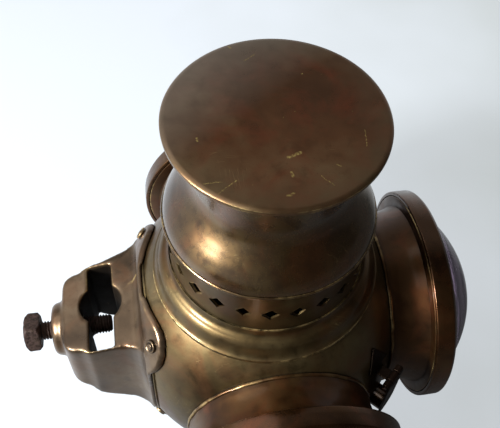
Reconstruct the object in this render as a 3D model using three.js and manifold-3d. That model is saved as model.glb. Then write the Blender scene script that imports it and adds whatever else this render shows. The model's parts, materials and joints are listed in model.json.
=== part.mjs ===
// A railroad switch lamp. A spun ball body carries three lens barrels and, on its blanked
// fourth side, a cast clamp bracket. Above it stand a pierced vent ring, a chimney hood and a
// flat cap. Below hangs a fount pot that holds the oil tank and the burner.
// Millimetres, +Z up. The origin is the centre of the pot's flat underside. The right lens
// looks along +X, the front lens along -Y, the back lens along +Y, and the bracket is at -X.

import * as THREE from "three";
import { mergeVertices } from "three/addons/utils/BufferGeometryUtils.js";
import Module from "manifold-3d";

const wasm = await Module();
wasm.setup();

// Sheet and fits. RISE means height above the lens axes, OUT means distance from the lamp's axis.
const SHEET = 1.2;
const SEAT_GAP = 0.3;
const SADDLE_GAP = 0.45;
const RUNNING_GAP = 0.08;
const LOOSE_GAP = 0.5;
const CUT_OVERRUN = 6;

// Ball body and its four round ports
const BALL_RADIUS = 96;
const portShare = 0.59375;
const topOpeningShare = 0.6458;
const potShare = 2 / 3;
const PORT_RADIUS = BALL_RADIUS * portShare;
const BALL_TOP_OPENING = BALL_RADIUS * topOpeningShare;
const PORT_BEAD = 2.6;
const NECK_LENGTH = 7.5;

// How far out, or up, the sphere at this gap over the ball lies where its radius is given.
const overBall = (radius, gap = 0) => Math.sqrt((BALL_RADIUS + gap) ** 2 - radius ** 2);

// Lens, its gasket and the barrel that holds it
const LENS_OVERLAP = 11.2;
const LENS_DOME_EASE = 7.8;
const LENS_RIM_WIDTH = 2.4;
const LENS_RADIUS = PORT_RADIUS + LENS_OVERLAP;
const LENS_DOME_RADIUS = LENS_RADIUS + LENS_DOME_EASE;
const LENS_DOME_EDGE = LENS_RADIUS - LENS_RIM_WIDTH;
const LENS_RIM_THICKNESS = 3.5;
const LENS_WALL = 6.5;
const LENS_STEP = 3;
const LENS_STAND = 8.5;
const LENS_BACK_OUT = BALL_RADIUS + LENS_STAND;
const GASKET_WIDTH = 3.8;
const GASKET_THICKNESS = 0.8;
const BARREL_WAIST_STEP = 1.7;
const BARREL_FLARE = 6;
const BARREL_WAIST = PORT_RADIUS + BARREL_WAIST_STEP;
const BARREL_MOUTH = PORT_RADIUS + BARREL_FLARE;

// Lens ring
const RING_WALL = 2.6;
const RING_SKIRT = 2.5;
const RING_DEPTH = 13.8;
const RING_LIP_COVER = 3.5;
const RING_BACK_OUT = LENS_BACK_OUT - RING_SKIRT;
const RING_FRONT_OUT = RING_BACK_OUT + RING_DEPTH;
const RING_LIP_BORE = LENS_DOME_EDGE - RING_LIP_COVER;
const RING_ROUNDING = 1.8;
const RING_LIP_THICKNESS = 1.2;

// Shoulder collar, vent ring, hood, cap and stays
const COLLAR_OVERLAP = 8.9;
const COLLAR_FLANGE_THICKNESS = 3.1;
const COLLAR_BEAD_RADIUS = 6.5;
const COLLAR_BEAD_LIFT = 3.7;
const COLLAR_HEIGHT = 15.7;
const COLLAR_FLANGE_RADIUS = BALL_TOP_OPENING + COLLAR_OVERLAP;
const COLLAR_FLANGE_RISE = overBall(COLLAR_FLANGE_RADIUS, SEAT_GAP) + COLLAR_FLANGE_THICKNESS;
const COLLAR_BEAD_RISE = COLLAR_FLANGE_RISE + COLLAR_BEAD_LIFT;
const COLLAR_TOP_RISE = COLLAR_FLANGE_RISE + COLLAR_HEIGHT;
const VENT_SETBACK = 2.7;
const VENT_RADIUS = BALL_TOP_OPENING - VENT_SETBACK;
const VENT_HOLE_COUNT = 24;
const VENT_HOLE_SIZE = 9.5;
const VENT_HOLE_LIFT = 18.3;
const VENT_HOLE_RISE = COLLAR_TOP_RISE + VENT_HOLE_LIFT;
const HOOD_LIP_STEP = 2.8;
const HOOD_LIP_LIFT = 20.2;
const HOOD_LIP_HEIGHT = 2.4;
const HOOD_LIP_ROLL = 0.9;
const HOOD_TAPER = 19.1;
const HOOD_HEIGHT = 67.5;
const HOOD_LIP_RADIUS = VENT_RADIUS + HOOD_LIP_STEP;
const HOOD_LIP_RISE = VENT_HOLE_RISE + HOOD_LIP_LIFT;
const HOOD_TOP_RADIUS = HOOD_LIP_RADIUS - HOOD_TAPER;
const HOOD_TOP_RISE = HOOD_LIP_RISE + HOOD_HEIGHT;
const CAP_OVERHANG = 15.3;
const CAP_LIFT = 8.6;
const CAP_RADIUS = HOOD_TOP_RADIUS + CAP_OVERHANG;
const CAP_TOP_RISE = HOOD_TOP_RISE + CAP_LIFT;
const CAP_RIM_HEIGHT = 4.2;
const CAP_FALL = 1;
const CAP_SHOULDER = 11;
const CAP_ROUNDING = 1.6;
const STAY_COUNT = 3;
const STAY_WIDTH = 9;
const STAY_THICKNESS = 1.6;
const STAY_DROP = 8;
const STAY_TAB = 10;

// Draught tube with its deck, inside the chimney
const DRAUGHT_FOOT_RADIUS = 31.2;
const DRAUGHT_TOP_RADIUS = 27.2;
const DRAUGHT_FOOT_RISE = 45;
const DRAUGHT_DROP = 18;
const DECK_DROP = 5;
const DRAUGHT_TOP_RISE = HOOD_TOP_RISE - DRAUGHT_DROP;
const DECK_RISE = COLLAR_TOP_RISE - DECK_DROP;

// Blank disc and clamp bracket. The bracket's own frame has x outwards, y to the front.
const BLANK_PLATE_OUT = overBall(PORT_RADIUS - SEAT_GAP, SEAT_GAP) + SEAT_GAP / 2;
const SADDLE_THICKNESS = 3.4;
const EAR_OVERLAP = 4.6;
const EAR_RIVET_RADIUS = PORT_RADIUS + EAR_OVERLAP;
const UPPER_EAR_ANGLE = 48.9;
const LOWER_EAR_ANGLE = -45;
const UPPER_EAR_EDGE = 7.9;
const SADDLE_SHOULDER_RADIUS = 22.7;
const LOWER_EAR_RADIUS = 7.5;
const saddleTopShare = 0.935;
const saddleBottomShare = 0.974;
const saddleWaistShare = 0.714;
const SADDLE_TOP_RISE = EAR_RIVET_RADIUS * saddleTopShare;
const SADDLE_BOTTOM_DROP = EAR_RIVET_RADIUS * saddleBottomShare;
const SADDLE_WAIST = EAR_RIVET_RADIUS * saddleWaistShare;
const SOCKET_SETBACK = 18.3;
const SOCKET_WIDTH = 16;
const BRACKET_END_WALL = 18;
const SOCKET_INNER_OUT = BLANK_PLATE_OUT + SEAT_GAP + SADDLE_THICKNESS + SOCKET_SETBACK;
const BRACKET_REACH = SOCKET_INNER_OUT + SOCKET_WIDTH + BRACKET_END_WALL;
const BRACKET_TOP_RISE = 27;
const BRACKET_TOP_CLIMB = 7.8;
const BRACKET_ROOT_RISE = 6;
const BRACKET_END_DROP = 12;
const BRACKET_HEEL_LIFT = 2;
const BRACKET_HEEL_DROP = SADDLE_BOTTOM_DROP - BRACKET_HEEL_LIFT;
const bracketWidthShare = 0.5276;
const BRACKET_HALF_WIDTH = EAR_RIVET_RADIUS * bracketWidthShare;
const BRACKET_TAPER = 3;
const BRACKET_ROOT_FLARE = 10.5;
const BRACKET_FAR_FLARE = 4.5;
const BRACKET_END_HALF_WIDTH = BRACKET_HALF_WIDTH - BRACKET_TAPER;
const BRACKET_ROOT_HALF_WIDTH = BRACKET_HALF_WIDTH + BRACKET_ROOT_FLARE;
const BRACKET_CORNER = 12;
const BRACKET_EDGE = 3;
const SOCKET_SIDE_WALL = 1.5;
const SOCKET_HALF_LENGTH = BRACKET_HALF_WIDTH - SOCKET_SIDE_WALL;
const POST_BORE_RADIUS = 14;
const POST_BORE_SHIFT = -2.7;
const BOSS_RADIUS = 18;
const BOSS_STAND = 8;
const BOSS_REACH = BRACKET_REACH + BOSS_STAND;
const BOSS_CHAMFER = 2.5;
const SCREW_RISE = 6.5;
const RIVET_RADIUS = 2.4;
const RIVET_HEAD_RADIUS = 4.2;
const RIVET_HEAD_HEIGHT = 1.6;
const RIVET_TAIL_HEIGHT = 1.4;
const RIVET_TAIL_GAP = 1.1;

// Clamp screw
const SCREW_RADIUS = 6.35;
const SCREW_TIP_SHORT = 13;
const SCREW_TIP_CHAMFER = 1.2;
const SCREW_NECK_LENGTH = 8.8;
const SCREW_TIP_OUT = SOCKET_INNER_OUT + SOCKET_WIDTH - SCREW_TIP_SHORT;
const SCREW_NECK_END_OUT = BOSS_REACH + SCREW_NECK_LENGTH;
const SCREW_HEAD_ACROSS = 19;
const SCREW_HEAD_HEIGHT = 10.7;
const SCREW_HEAD_TURN = 20;

// Sight hole with its hinged shutter, at the corner between the right and front barrels
const SIGHT_AZIMUTH = -46;
const SIGHT_DROP = 7;
const SIGHT_TUBE_RADIUS = 7.5;
const SIGHT_TUBE_WALL = 1.1;
const SIGHT_TUBE_TAIL = 7;
const SHUTTER_WIDTH = 18;
const SHUTTER_THICKNESS = 1.3;
const SHUTTER_DROP = 45;
const HINGE_RISE = 28;
const HINGE_STAND = 7;
const HINGE_OUT = BALL_RADIUS + HINGE_STAND;
const HINGE_PIN_RADIUS = 1.2;
const HINGE_CURL_RADIUS = 2.7;
const HINGE_KNUCKLE_SHARE = 0.42;
const LEAF_WIDTH = 20;
const LEAF_HEIGHT = 18;
const LEAF_THICKNESS = 1.3;

// Body skirt with its bayonet slots, and the fount pot
const POT_RADIUS = BALL_RADIUS * potShare;
const SKIRT_STEP = 4;
const SKIRT_RADIUS = POT_RADIUS + SKIRT_STEP;
const SKIRT_BOTTOM = 36;
const SKIRT_TOP = 57.81;
const SKIRT_BEAD = 1.1;
const SKIRT_BEAD_HEIGHT = 3;
const POT_TOP = 52;
const POT_BEAD_RADIUS = SKIRT_RADIUS + SHEET;
const AXIS_HEIGHT = SKIRT_TOP + overBall(SKIRT_RADIUS, SEAT_GAP);
const POT_BEAD_HEIGHT = 4.5;
const POT_CORNER = 4;
const LUG_COUNT = 3;
const LUG_HEIGHT = 3;
const LUG_WIDTH = 4;
const LUG_BOTTOM = 44.5;
const LUG_STAND = 1;
const TWIST_ANGLE = 24;

// Oil tank, its springs and its filler cap
const TANK_CLEARANCE = 6;
const TANK_RADIUS = POT_RADIUS - TANK_CLEARANCE;
const TANK_SHOULDER = 66;
const TANK_TOP = 75.5;
const TANK_NECK_RADIUS = 17;
const TANK_CORNER = 2;
const TANK_WELL_DEPTH = 9;
const SPRING_COUNT = 3;
const SPRING_WIDTH = 10;
const SPRING_THICKNESS = 0.8;
const SPRING_BOTTOM = 9;
const SPRING_HEIGHT = 28;
const FILLER_INSET = 20;
const FILLER_OFFSET = TANK_RADIUS - FILLER_INSET;
const FILLER_NECK_RADIUS = 9;
const FILLER_BORE_RADIUS = 6.6;
const FILLER_DEPTH = 14;
const FILLER_CAP_RADIUS = 10.5;
const FILLER_CAP_HEIGHT = 4;
const FILLER_PLUG_LENGTH = 5;
const FILLER_NOTCH_COUNT = 8;
const FILLER_NOTCH_RADIUS = 1;

// Burner: collar, body, wick tube, wick, raiser and flame cone
const COLLAR_RING_RADIUS = 15;
const COLLAR_RING_HEIGHT = 5;
const COLLAR_SPIGOT_RADIUS = 12.5;
const BURNER_PLUG_RADIUS = 10;
const BURNER_PLUG_LENGTH = 7;
const GALLERY_RADIUS = 19;
const GALLERY_THICKNESS = 1.8;
const GALLERY_HOLE_COUNT = 8;
const GALLERY_HOLE_RADIUS = 1.3;
const BURNER_NECK_RADIUS = 9.5;
const BURNER_NECK_HEIGHT = 15;
const WICK_WIDTH = 12;
const WICK_THICKNESS = 1.8;
const WICK_TUBE_WALL = 0.8;
const WICK_TUBE_TOP = 114;
const WICK_STAND = 3;
const WICK_TAIL = 14;
const RAISER_SHAFT_RADIUS = 1.2;
const RAISER_WHEEL_RADIUS = 4;
const RAISER_WHEEL_WIDTH = 6;
const RAISER_KNOB_RADIUS = 6.5;
const RAISER_KNOB_WIDTH = 4;
const RAISER_REACH = 32;
const RAISER_AZIMUTH = 45;
const CONE_FOOT_RADIUS = 17;
const CONE_SHOULDER_RADIUS = 15;
const CONE_MOUTH_RADIUS = 8.5;
const CONE_SHOULDER_HEIGHT = 14;
const CONE_HEIGHT = 32;
const CONE_WALL = 0.8;

// How finely the round forms are stepped
const LARGE_STEPS = 36;
const BARREL_STEPS = 30;
const LENS_TURN_STEPS = 20;
const SMALL_STEPS = 14;
const TINY_STEPS = 8;
const ARC_STEPS = 5;

// Outlines as shares of the sizes that they follow: [share of radius or length, share of height]
const hoodShares = [
  [0.956, 0.048],
  [0.862, 0.102],
  [0.7, 0.171],
  [0.505, 0.24],
  [0.313, 0.309],
  [0.154, 0.378],
  [0.052, 0.447],
  [0.004, 0.53],
];
const bellyShares = [
  [0.866, 0.283],
  [0.559, 0.565],
  [0.175, 0.804],
];
const barrelFlareShares = [
  [0, 0.15],
  [0.36, 0.62],
];
const lensStepShares = [0.42, 0.72];
const rivetTailShare = 0.8;
const rivetDomeShare = 0.75;
const rivetShoulderShare = 0.7;
const collarBeadAngles = [-20, 0, 25, 50, 75];
const MERGE_DISTANCE = 1e-4;

const brass = new THREE.MeshStandardMaterial({ color: 0x4a3120, roughness: 0.42, metalness: 0.9 });
const castBrass = new THREE.MeshStandardMaterial({ color: 0x443022, roughness: 0.5, metalness: 0.85 });
const iron = new THREE.MeshStandardMaterial({ color: 0x2c1f19, roughness: 0.7, metalness: 0.7 });
const tinned = new THREE.MeshStandardMaterial({ color: 0x8c8a84, roughness: 0.4, metalness: 0.9 });
const glass = new THREE.MeshStandardMaterial({ color: 0xb7a3c4, roughness: 0.1, metalness: 0 });
const gasketStuff = new THREE.MeshStandardMaterial({ color: 0x2a2622, roughness: 0.9, metalness: 0 });
const cotton = new THREE.MeshStandardMaterial({ color: 0xd8cdb4, roughness: 0.95, metalness: 0 });

const radians = THREE.MathUtils.degToRad;
const point = (x, y) => new THREE.Vector2(x, y);

// A solid of revolution about +Z from a profile of [radius, height] points that goes up its
// outside. A profile that doesn't end on the axis is closed back to its first point.
function turned(profile, steps) {
  const points = profile.map(([radius, height]) => point(radius, height));
  const onAxis = profile[0][0] === 0 && profile.at(-1)[0] === 0;
  if (!onAxis) points.push(points[0].clone());
  return new THREE.LatheGeometry(points, steps).rotateX(Math.PI / 2);
}

// A flat outline given thickness along Z, centred on its own plane.
function slab(outline, thickness, curveSteps = ARC_STEPS) {
  const options = { depth: thickness, bevelEnabled: false, curveSegments: curveSteps };
  return new THREE.ExtrudeGeometry(outline, options).translate(0, 0, -thickness / 2);
}

// The same with the outline's x along X and its y along Z, so the thickness lies along Y.
function slabAcross(outline, thickness, curveSteps) {
  return slab(outline, thickness, curveSteps).rotateX(Math.PI / 2);
}

// The same with the outline's x along Y and its y along Z, so the thickness lies along X.
function slabFacing(outline, thickness, curveSteps) {
  return slabAcross(outline, thickness, curveSteps).rotateZ(Math.PI / 2);
}

function rod(radius, length, steps = SMALL_STEPS) {
  return new THREE.CylinderGeometry(radius, radius, length, steps).rotateX(Math.PI / 2);
}

// The radius of a stepped hole in which a stepped pin of this radius turns freely.
const holeRound = (radius, steps) => (radius + RUNNING_GAP) / Math.cos(Math.PI / steps);

function rodAlongX(radius, from, to, steps = SMALL_STEPS) {
  return rod(radius, to - from, steps).rotateY(Math.PI / 2).translate((from + to) / 2, 0, 0);
}

function rodAlongY(radius, from, to, steps = SMALL_STEPS) {
  return rod(radius, to - from, steps).rotateX(Math.PI / 2).translate(0, (from + to) / 2, 0);
}

function block(width, depth, bottom, top) {
  return new THREE.BoxGeometry(width, depth, top - bottom).translate(0, 0, (bottom + top) / 2);
}

function solidOf(geometry) {
  const bare = geometry.clone();
  bare.deleteAttribute("normal");
  bare.deleteAttribute("uv");
  const merged = mergeVertices(bare, MERGE_DISTANCE);
  return new wasm.Manifold(new wasm.Mesh({
    numProp: 3,
    vertProperties: merged.attributes.position.array,
    triVerts: new Uint32Array(merged.index.array),
  }));
}

function geometryOf(solid) {
  const mesh = solid.getMesh();
  const geometry = new THREE.BufferGeometry();
  geometry.setAttribute("position", new THREE.BufferAttribute(mesh.vertProperties, 3));
  geometry.setIndex(new THREE.BufferAttribute(mesh.triVerts, 1));
  geometry.computeVertexNormals();
  return geometry;
}

const join = (first, ...rest) => rest.reduce((sum, next) => sum.add(solidOf(next)), solidOf(first));
const cut = (body, ...tools) => tools.reduce((left, tool) => left.subtract(solidOf(tool)), body);

function piece(parent, name, shape, material) {
  const geometry = shape.isBufferGeometry ? shape : geometryOf(shape);
  const mesh = new THREE.Mesh(geometry, material);
  mesh.name = name;
  parent.add(mesh);
  return mesh;
}

const lamp = new THREE.Group();
const upper = new THREE.Group();
upper.position.z = AXIS_HEIGHT;
lamp.add(upper);

// Turns a shape made along +Z so that it looks out from the lamp at this azimuth.
function aim(geometry, azimuth) {
  return geometry.rotateY(Math.PI / 2).rotateZ(radians(azimuth));
}

const sides = { right: 0, front: -90, back: 90 };
const skirtBore = SKIRT_RADIUS - SHEET;

function ballProfile() {
  const outerTop = Math.acos(BALL_TOP_OPENING / BALL_RADIUS);
  const outerFoot = -Math.acos(skirtBore / BALL_RADIUS);
  const steps = 2 * ARC_STEPS;
  const arc = (radius) => Array.from({ length: steps + 1 }, (unused, step) => {
    const angle = outerFoot + ((outerTop - outerFoot) * step) / steps;
    return [radius * Math.cos(angle), radius * Math.sin(angle)];
  });
  return [...arc(BALL_RADIUS), ...arc(BALL_RADIUS - SHEET).reverse()];
}

// The four ears of the saddle, each with the direction of its rivet from the lamp's centre.
function earPlaces() {
  const tilt = Math.asin(EAR_RIVET_RADIUS / BALL_RADIUS);
  return [UPPER_EAR_ANGLE, LOWER_EAR_ANGLE].flatMap((angle) => [1, -1].map((side) => {
    const across = EAR_RIVET_RADIUS * Math.cos(radians(angle)) * side;
    const rise = EAR_RIVET_RADIUS * Math.sin(radians(angle));
    const direction = new THREE.Vector3(-BALL_RADIUS * Math.cos(tilt), -across, rise).normalize();
    return { across, rise, direction };
  }));
}

// Lays a shape made along +Z along the rivet's direction.
function alongRivet(geometry, direction) {
  const up = new THREE.Vector3(0, 0, 1);
  const turn = new THREE.Quaternion().setFromUnitVectors(up, direction);
  return geometry.applyQuaternion(turn);
}

function rivetHole(direction) {
  const length = 2 * CUT_OVERRUN;
  const hole = rod(RIVET_RADIUS + SEAT_GAP, length, TINY_STEPS).translate(0, 0, BALL_RADIUS);
  return alongRivet(hole, direction);
}

function buildBody() {
  const portLength = 2 * (BALL_RADIUS - PORT_RADIUS);
  const port = (azimuth) => {
    const tool = rod(PORT_RADIUS, portLength, BARREL_STEPS);
    return aim(tool.translate(0, 0, BALL_RADIUS), azimuth);
  };
  const sightBore = aim(rod(SIGHT_TUBE_RADIUS + SEAT_GAP, portLength, SMALL_STEPS)
    .translate(0, 0, BALL_RADIUS), SIGHT_AZIMUTH).translate(0, 0, -SIGHT_DROP);
  const holes = earPlaces().map(({ direction }) => rivetHole(direction));
  const ports = [0, 90, 180, 270].map(port);
  const shell = cut(solidOf(turned(ballProfile(), LARGE_STEPS)), ...ports, sightBore, ...holes);
  piece(upper, "body_shell", shell, brass);
}

// One lens side: neck in the port, bead on the ball, flared barrel and the cup for the lens.
const neckRadius = PORT_RADIUS - SEAT_GAP;
const cupRadius = LENS_RADIUS + LOOSE_GAP + SHEET;
const cupFloorOut = LENS_BACK_OUT - GASKET_THICKNESS - 2 * SEAT_GAP;
const ringBore = cupRadius + LOOSE_GAP;
const ringRadius = ringBore + RING_WALL;
const lensRimOut = LENS_BACK_OUT + LENS_RIM_THICKNESS;
const domeCentreOut = lensRimOut - Math.sqrt(LENS_DOME_RADIUS ** 2 - LENS_DOME_EDGE ** 2);
const domeOut = (radius, gap = 0) => domeCentreOut
  + Math.sqrt((LENS_DOME_RADIUS + gap) ** 2 - radius ** 2);

function barrelProfile() {
  const beadRadius = neckRadius + PORT_BEAD;
  const seatOut = overBall(neckRadius, SEAT_GAP);
  const beadOut = overBall(beadRadius, SEAT_GAP);
  const start = seatOut + PORT_BEAD / 2;
  const length = cupFloorOut - SHEET - start;
  const flare = barrelFlareShares.map(([outward, along]) => (
    [BARREL_WAIST + (BARREL_MOUTH - BARREL_WAIST) * outward, start + length * along]));
  const [, [bendRadius, bendOut]] = flare;
  return [
    [neckRadius, seatOut - NECK_LENGTH],
    [neckRadius, seatOut],
    [beadRadius, beadOut],
    [BARREL_WAIST, start],
    ...flare,
    [BARREL_MOUTH, cupFloorOut - 2 * SHEET],
    [cupRadius, cupFloorOut - SHEET],
    [cupRadius, lensRimOut],
    [cupRadius - SHEET, lensRimOut],
    [cupRadius - SHEET, cupFloorOut],
    [BARREL_MOUTH, cupFloorOut],
    [bendRadius - SHEET, bendOut],
    [neckRadius - SHEET, seatOut],
    [neckRadius - SHEET, seatOut - NECK_LENGTH],
  ];
}

function ringProfile() {
  const lipBack = lensRimOut + SEAT_GAP;
  const lipFoot = LENS_DOME_EDGE + SEAT_GAP;
  return [
    [ringBore, RING_BACK_OUT],
    [ringRadius, RING_BACK_OUT],
    [ringRadius, RING_FRONT_OUT - RING_ROUNDING],
    [ringRadius - RING_ROUNDING, RING_FRONT_OUT],
    [RING_LIP_BORE, RING_FRONT_OUT],
    [RING_LIP_BORE, RING_FRONT_OUT - RING_LIP_THICKNESS],
    [lipFoot, lipBack],
    [ringBore, lipBack],
  ];
}

// The lens: a smooth outer dome over a hollow back whose steps bend the light forward.
function lensProfile() {
  const domeSteps = ARC_STEPS;
  const dome = Array.from({ length: domeSteps }, (unused, step) => {
    const radius = LENS_DOME_EDGE * (1 - step / domeSteps);
    return [radius, domeOut(radius)];
  });
  const back = lensStepShares.flatMap((share) => {
    const radius = LENS_DOME_EDGE * share;
    const out = domeOut(radius) - LENS_WALL;
    return [[radius, out - LENS_STEP], [radius, out]];
  });
  return [
    [0, domeOut(0) - LENS_WALL],
    ...back,
    [LENS_DOME_EDGE - LENS_RIM_THICKNESS, LENS_BACK_OUT],
    [LENS_RADIUS, LENS_BACK_OUT],
    [LENS_RADIUS, lensRimOut],
    ...dome,
    [0, domeOut(0)],
  ];
}

function gasketProfile() {
  const inner = LENS_RADIUS - GASKET_WIDTH;
  const back = cupFloorOut + SEAT_GAP;
  return [
    [inner, back],
    [LENS_RADIUS, back],
    [LENS_RADIUS, back + GASKET_THICKNESS],
    [inner, back + GASKET_THICKNESS],
  ];
}

function buildLensSides() {
  for (const [side, azimuth] of Object.entries(sides)) {
    const barrel = turned(barrelProfile(), BARREL_STEPS);
    piece(upper, `barrel_${side}`, aim(barrel, azimuth), brass);
    piece(upper, `lens_ring_${side}`, aim(turned(ringProfile(), BARREL_STEPS), azimuth), brass);
    piece(upper, `lens_${side}`, aim(turned(lensProfile(), LENS_TURN_STEPS), azimuth), glass);
    const gasket = turned(gasketProfile(), LENS_TURN_STEPS);
    piece(upper, `lens_gasket_${side}`, aim(gasket, azimuth), gasketStuff);
  }
}

// The plain disc that closes the fourth port behind the bracket.
function buildBlankDisc() {
  const beadRadius = neckRadius + PORT_BEAD / 2;
  const disc = turned([
    [neckRadius, overBall(neckRadius) - NECK_LENGTH],
    [neckRadius, overBall(neckRadius, SEAT_GAP)],
    [beadRadius, overBall(beadRadius, SEAT_GAP)],
    [beadRadius, BLANK_PLATE_OUT],
    [0, BLANK_PLATE_OUT],
    [0, BLANK_PLATE_OUT - SHEET],
    [neckRadius - SHEET, BLANK_PLATE_OUT - SHEET],
    [neckRadius - SHEET, overBall(neckRadius) - NECK_LENGTH],
  ], BARREL_STEPS);
  piece(upper, "blank_disc", aim(disc, 180), brass);
}

function buildCollar() {
  const inner = VENT_RADIUS - SHEET / 2;
  const beadCentre = COLLAR_FLANGE_RADIUS - SHEET - COLLAR_BEAD_RADIUS - 2 * SHEET;
  const bead = collarBeadAngles.map((angle) => [
    beadCentre + COLLAR_BEAD_RADIUS * Math.cos(radians(angle)),
    COLLAR_BEAD_RISE + COLLAR_BEAD_RADIUS * Math.sin(radians(angle)),
  ]);
  const under = (radius) => [radius, overBall(radius, SEAT_GAP)];
  const profile = [
    under(COLLAR_FLANGE_RADIUS),
    [COLLAR_FLANGE_RADIUS, COLLAR_FLANGE_RISE],
    ...bead,
    [VENT_RADIUS + SHEET / 2, COLLAR_TOP_RISE - SHEET],
    [VENT_RADIUS + SHEET / 2, COLLAR_TOP_RISE],
    [inner, COLLAR_TOP_RISE],
    [inner, overBall(inner, SEAT_GAP) + SHEET],
    under(BALL_TOP_OPENING),
    under((BALL_TOP_OPENING + COLLAR_FLANGE_RADIUS) / 2),
  ];
  piece(upper, "shoulder_collar", turned(profile, LARGE_STEPS), brass);
}

// The hood's outside, from its lip up: radius and rise.
function hoodOutside() {
  const shoulderRadius = HOOD_LIP_RADIUS - HOOD_LIP_ROLL;
  const foot = HOOD_LIP_RISE + HOOD_LIP_HEIGHT;
  const curve = hoodShares.map(([wide, high]) => [
    HOOD_TOP_RADIUS + (shoulderRadius - HOOD_TOP_RADIUS) * wide,
    foot + (HOOD_TOP_RISE - foot) * high,
  ]);
  return [[shoulderRadius, foot], ...curve, [HOOD_TOP_RADIUS, HOOD_TOP_RISE]];
}

// The rise at which the hood's inside is as wide as this radius.
function hoodInsideRise(radius) {
  const inside = hoodOutside().map(([wide, high]) => [wide - SHEET, high]);
  const index = inside.findIndex(([wide]) => wide < radius);
  const [[lowRadius, lowRise], [highRadius, highRise]] = [inside[index - 1], inside[index]];
  return lowRise + ((highRise - lowRise) * (lowRadius - radius)) / (lowRadius - highRadius);
}

function buildVentRing() {
  const top = hoodInsideRise(VENT_RADIUS + SEAT_GAP);
  const bottom = COLLAR_TOP_RISE + SEAT_GAP;
  const band = turned([
    [VENT_RADIUS - SHEET, bottom],
    [VENT_RADIUS, bottom],
    [VENT_RADIUS, top],
    [VENT_RADIUS - SHEET, top],
  ], 2 * VENT_HOLE_COUNT);
  const pitch = 360 / VENT_HOLE_COUNT;
  const diamonds = Array.from({ length: VENT_HOLE_COUNT }, (unused, index) => {
    const tool = rod(VENT_HOLE_SIZE / 2, 2 * CUT_OVERRUN, 4).translate(0, 0, VENT_RADIUS);
    return aim(tool, pitch * (index + 0.5)).translate(0, 0, VENT_HOLE_RISE);
  });
  piece(upper, "vent_ring", cut(solidOf(band), ...diamonds), brass);
}

function buildHood() {
  const outside = hoodOutside();
  const inside = outside.map(([radius, rise]) => [radius - SHEET, rise]).reverse();
  const lipMiddle = HOOD_LIP_RISE + HOOD_LIP_HEIGHT / 2;
  const lipInner = HOOD_LIP_RADIUS - HOOD_LIP_ROLL - SHEET;
  const profile = [
    [lipInner, HOOD_LIP_RISE],
    [HOOD_LIP_RADIUS - HOOD_LIP_ROLL / 2, HOOD_LIP_RISE],
    [HOOD_LIP_RADIUS, lipMiddle],
    ...outside,
    ...inside,
  ];
  piece(upper, "chimney_hood", turned(profile, LARGE_STEPS), brass);
}

function buildCap() {
  const rimBottom = CAP_TOP_RISE - CAP_RIM_HEIGHT;
  const lowTop = CAP_TOP_RISE - SHEET;
  const edge = CAP_TOP_RISE - CAP_FALL;
  const shoulder = CAP_RADIUS - CAP_SHOULDER;
  const shoulderDrop = CAP_FALL / 4;
  const cap = turned([
    [0, lowTop],
    [shoulder, lowTop - shoulderDrop],
    [CAP_RADIUS - CAP_ROUNDING - SHEET, edge - SHEET],
    [CAP_RADIUS - SHEET, edge - SHEET - CAP_ROUNDING / 2],
    [CAP_RADIUS - SHEET, rimBottom],
    [CAP_RADIUS, rimBottom],
    [CAP_RADIUS, edge - CAP_ROUNDING],
    [CAP_RADIUS - CAP_ROUNDING / 3, edge - CAP_ROUNDING / 3],
    [CAP_RADIUS - CAP_ROUNDING, edge],
    [shoulder, CAP_TOP_RISE - shoulderDrop],
    [0, CAP_TOP_RISE],
  ], LARGE_STEPS);
  piece(upper, "top_cap", cap, brass);
  const outer = HOOD_TOP_RADIUS - SHEET - 2 * SEAT_GAP;
  const inner = outer - STAY_THICKNESS;
  const top = lowTop - shoulderDrop - SEAT_GAP;
  const outline = new THREE.Shape([
    point(inner, HOOD_TOP_RISE - STAY_DROP),
    point(outer, HOOD_TOP_RISE - STAY_DROP),
    point(outer, top),
    point(inner - STAY_TAB, top),
    point(inner - STAY_TAB, top - STAY_THICKNESS),
    point(inner, top - STAY_THICKNESS),
  ]);
  for (let index = 0; index < STAY_COUNT; index += 1) {
    const turn = radians((360 / STAY_COUNT) * (index + 0.5));
    piece(upper, `cap_stay_${index + 1}`, slabAcross(outline, STAY_WIDTH).rotateZ(turn), brass);
  }
}

function buildDraughtTube() {
  const deckEdge = VENT_RADIUS - SHEET / 2 - SEAT_GAP;
  const share = (DECK_RISE - DRAUGHT_FOOT_RISE) / (DRAUGHT_TOP_RISE - DRAUGHT_FOOT_RISE);
  const atDeck = DRAUGHT_FOOT_RADIUS + (DRAUGHT_TOP_RADIUS - DRAUGHT_FOOT_RADIUS) * share;
  const tube = turned([
    [DRAUGHT_FOOT_RADIUS - SHEET, DRAUGHT_FOOT_RISE],
    [DRAUGHT_FOOT_RADIUS, DRAUGHT_FOOT_RISE],
    [atDeck, DECK_RISE],
    [deckEdge, DECK_RISE],
    [deckEdge, DECK_RISE + SHEET],
    [atDeck, DECK_RISE + SHEET],
    [DRAUGHT_TOP_RADIUS, DRAUGHT_TOP_RISE],
    [DRAUGHT_TOP_RADIUS - SHEET, DRAUGHT_TOP_RISE],
  ], LENS_TURN_STEPS);
  piece(upper, "draught_tube", tube, tinned);
}

// The outline of a form that is alike on both sides, from its right half's path, top to foot.
function mirrored(halfPath, steps) {
  const half = halfPath.getPoints(steps);
  const other = half.filter(({ x }) => x > SEAT_GAP).map(({ x, y }) => point(-x, y)).reverse();
  return new THREE.Shape([...half, ...other]);
}

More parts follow.
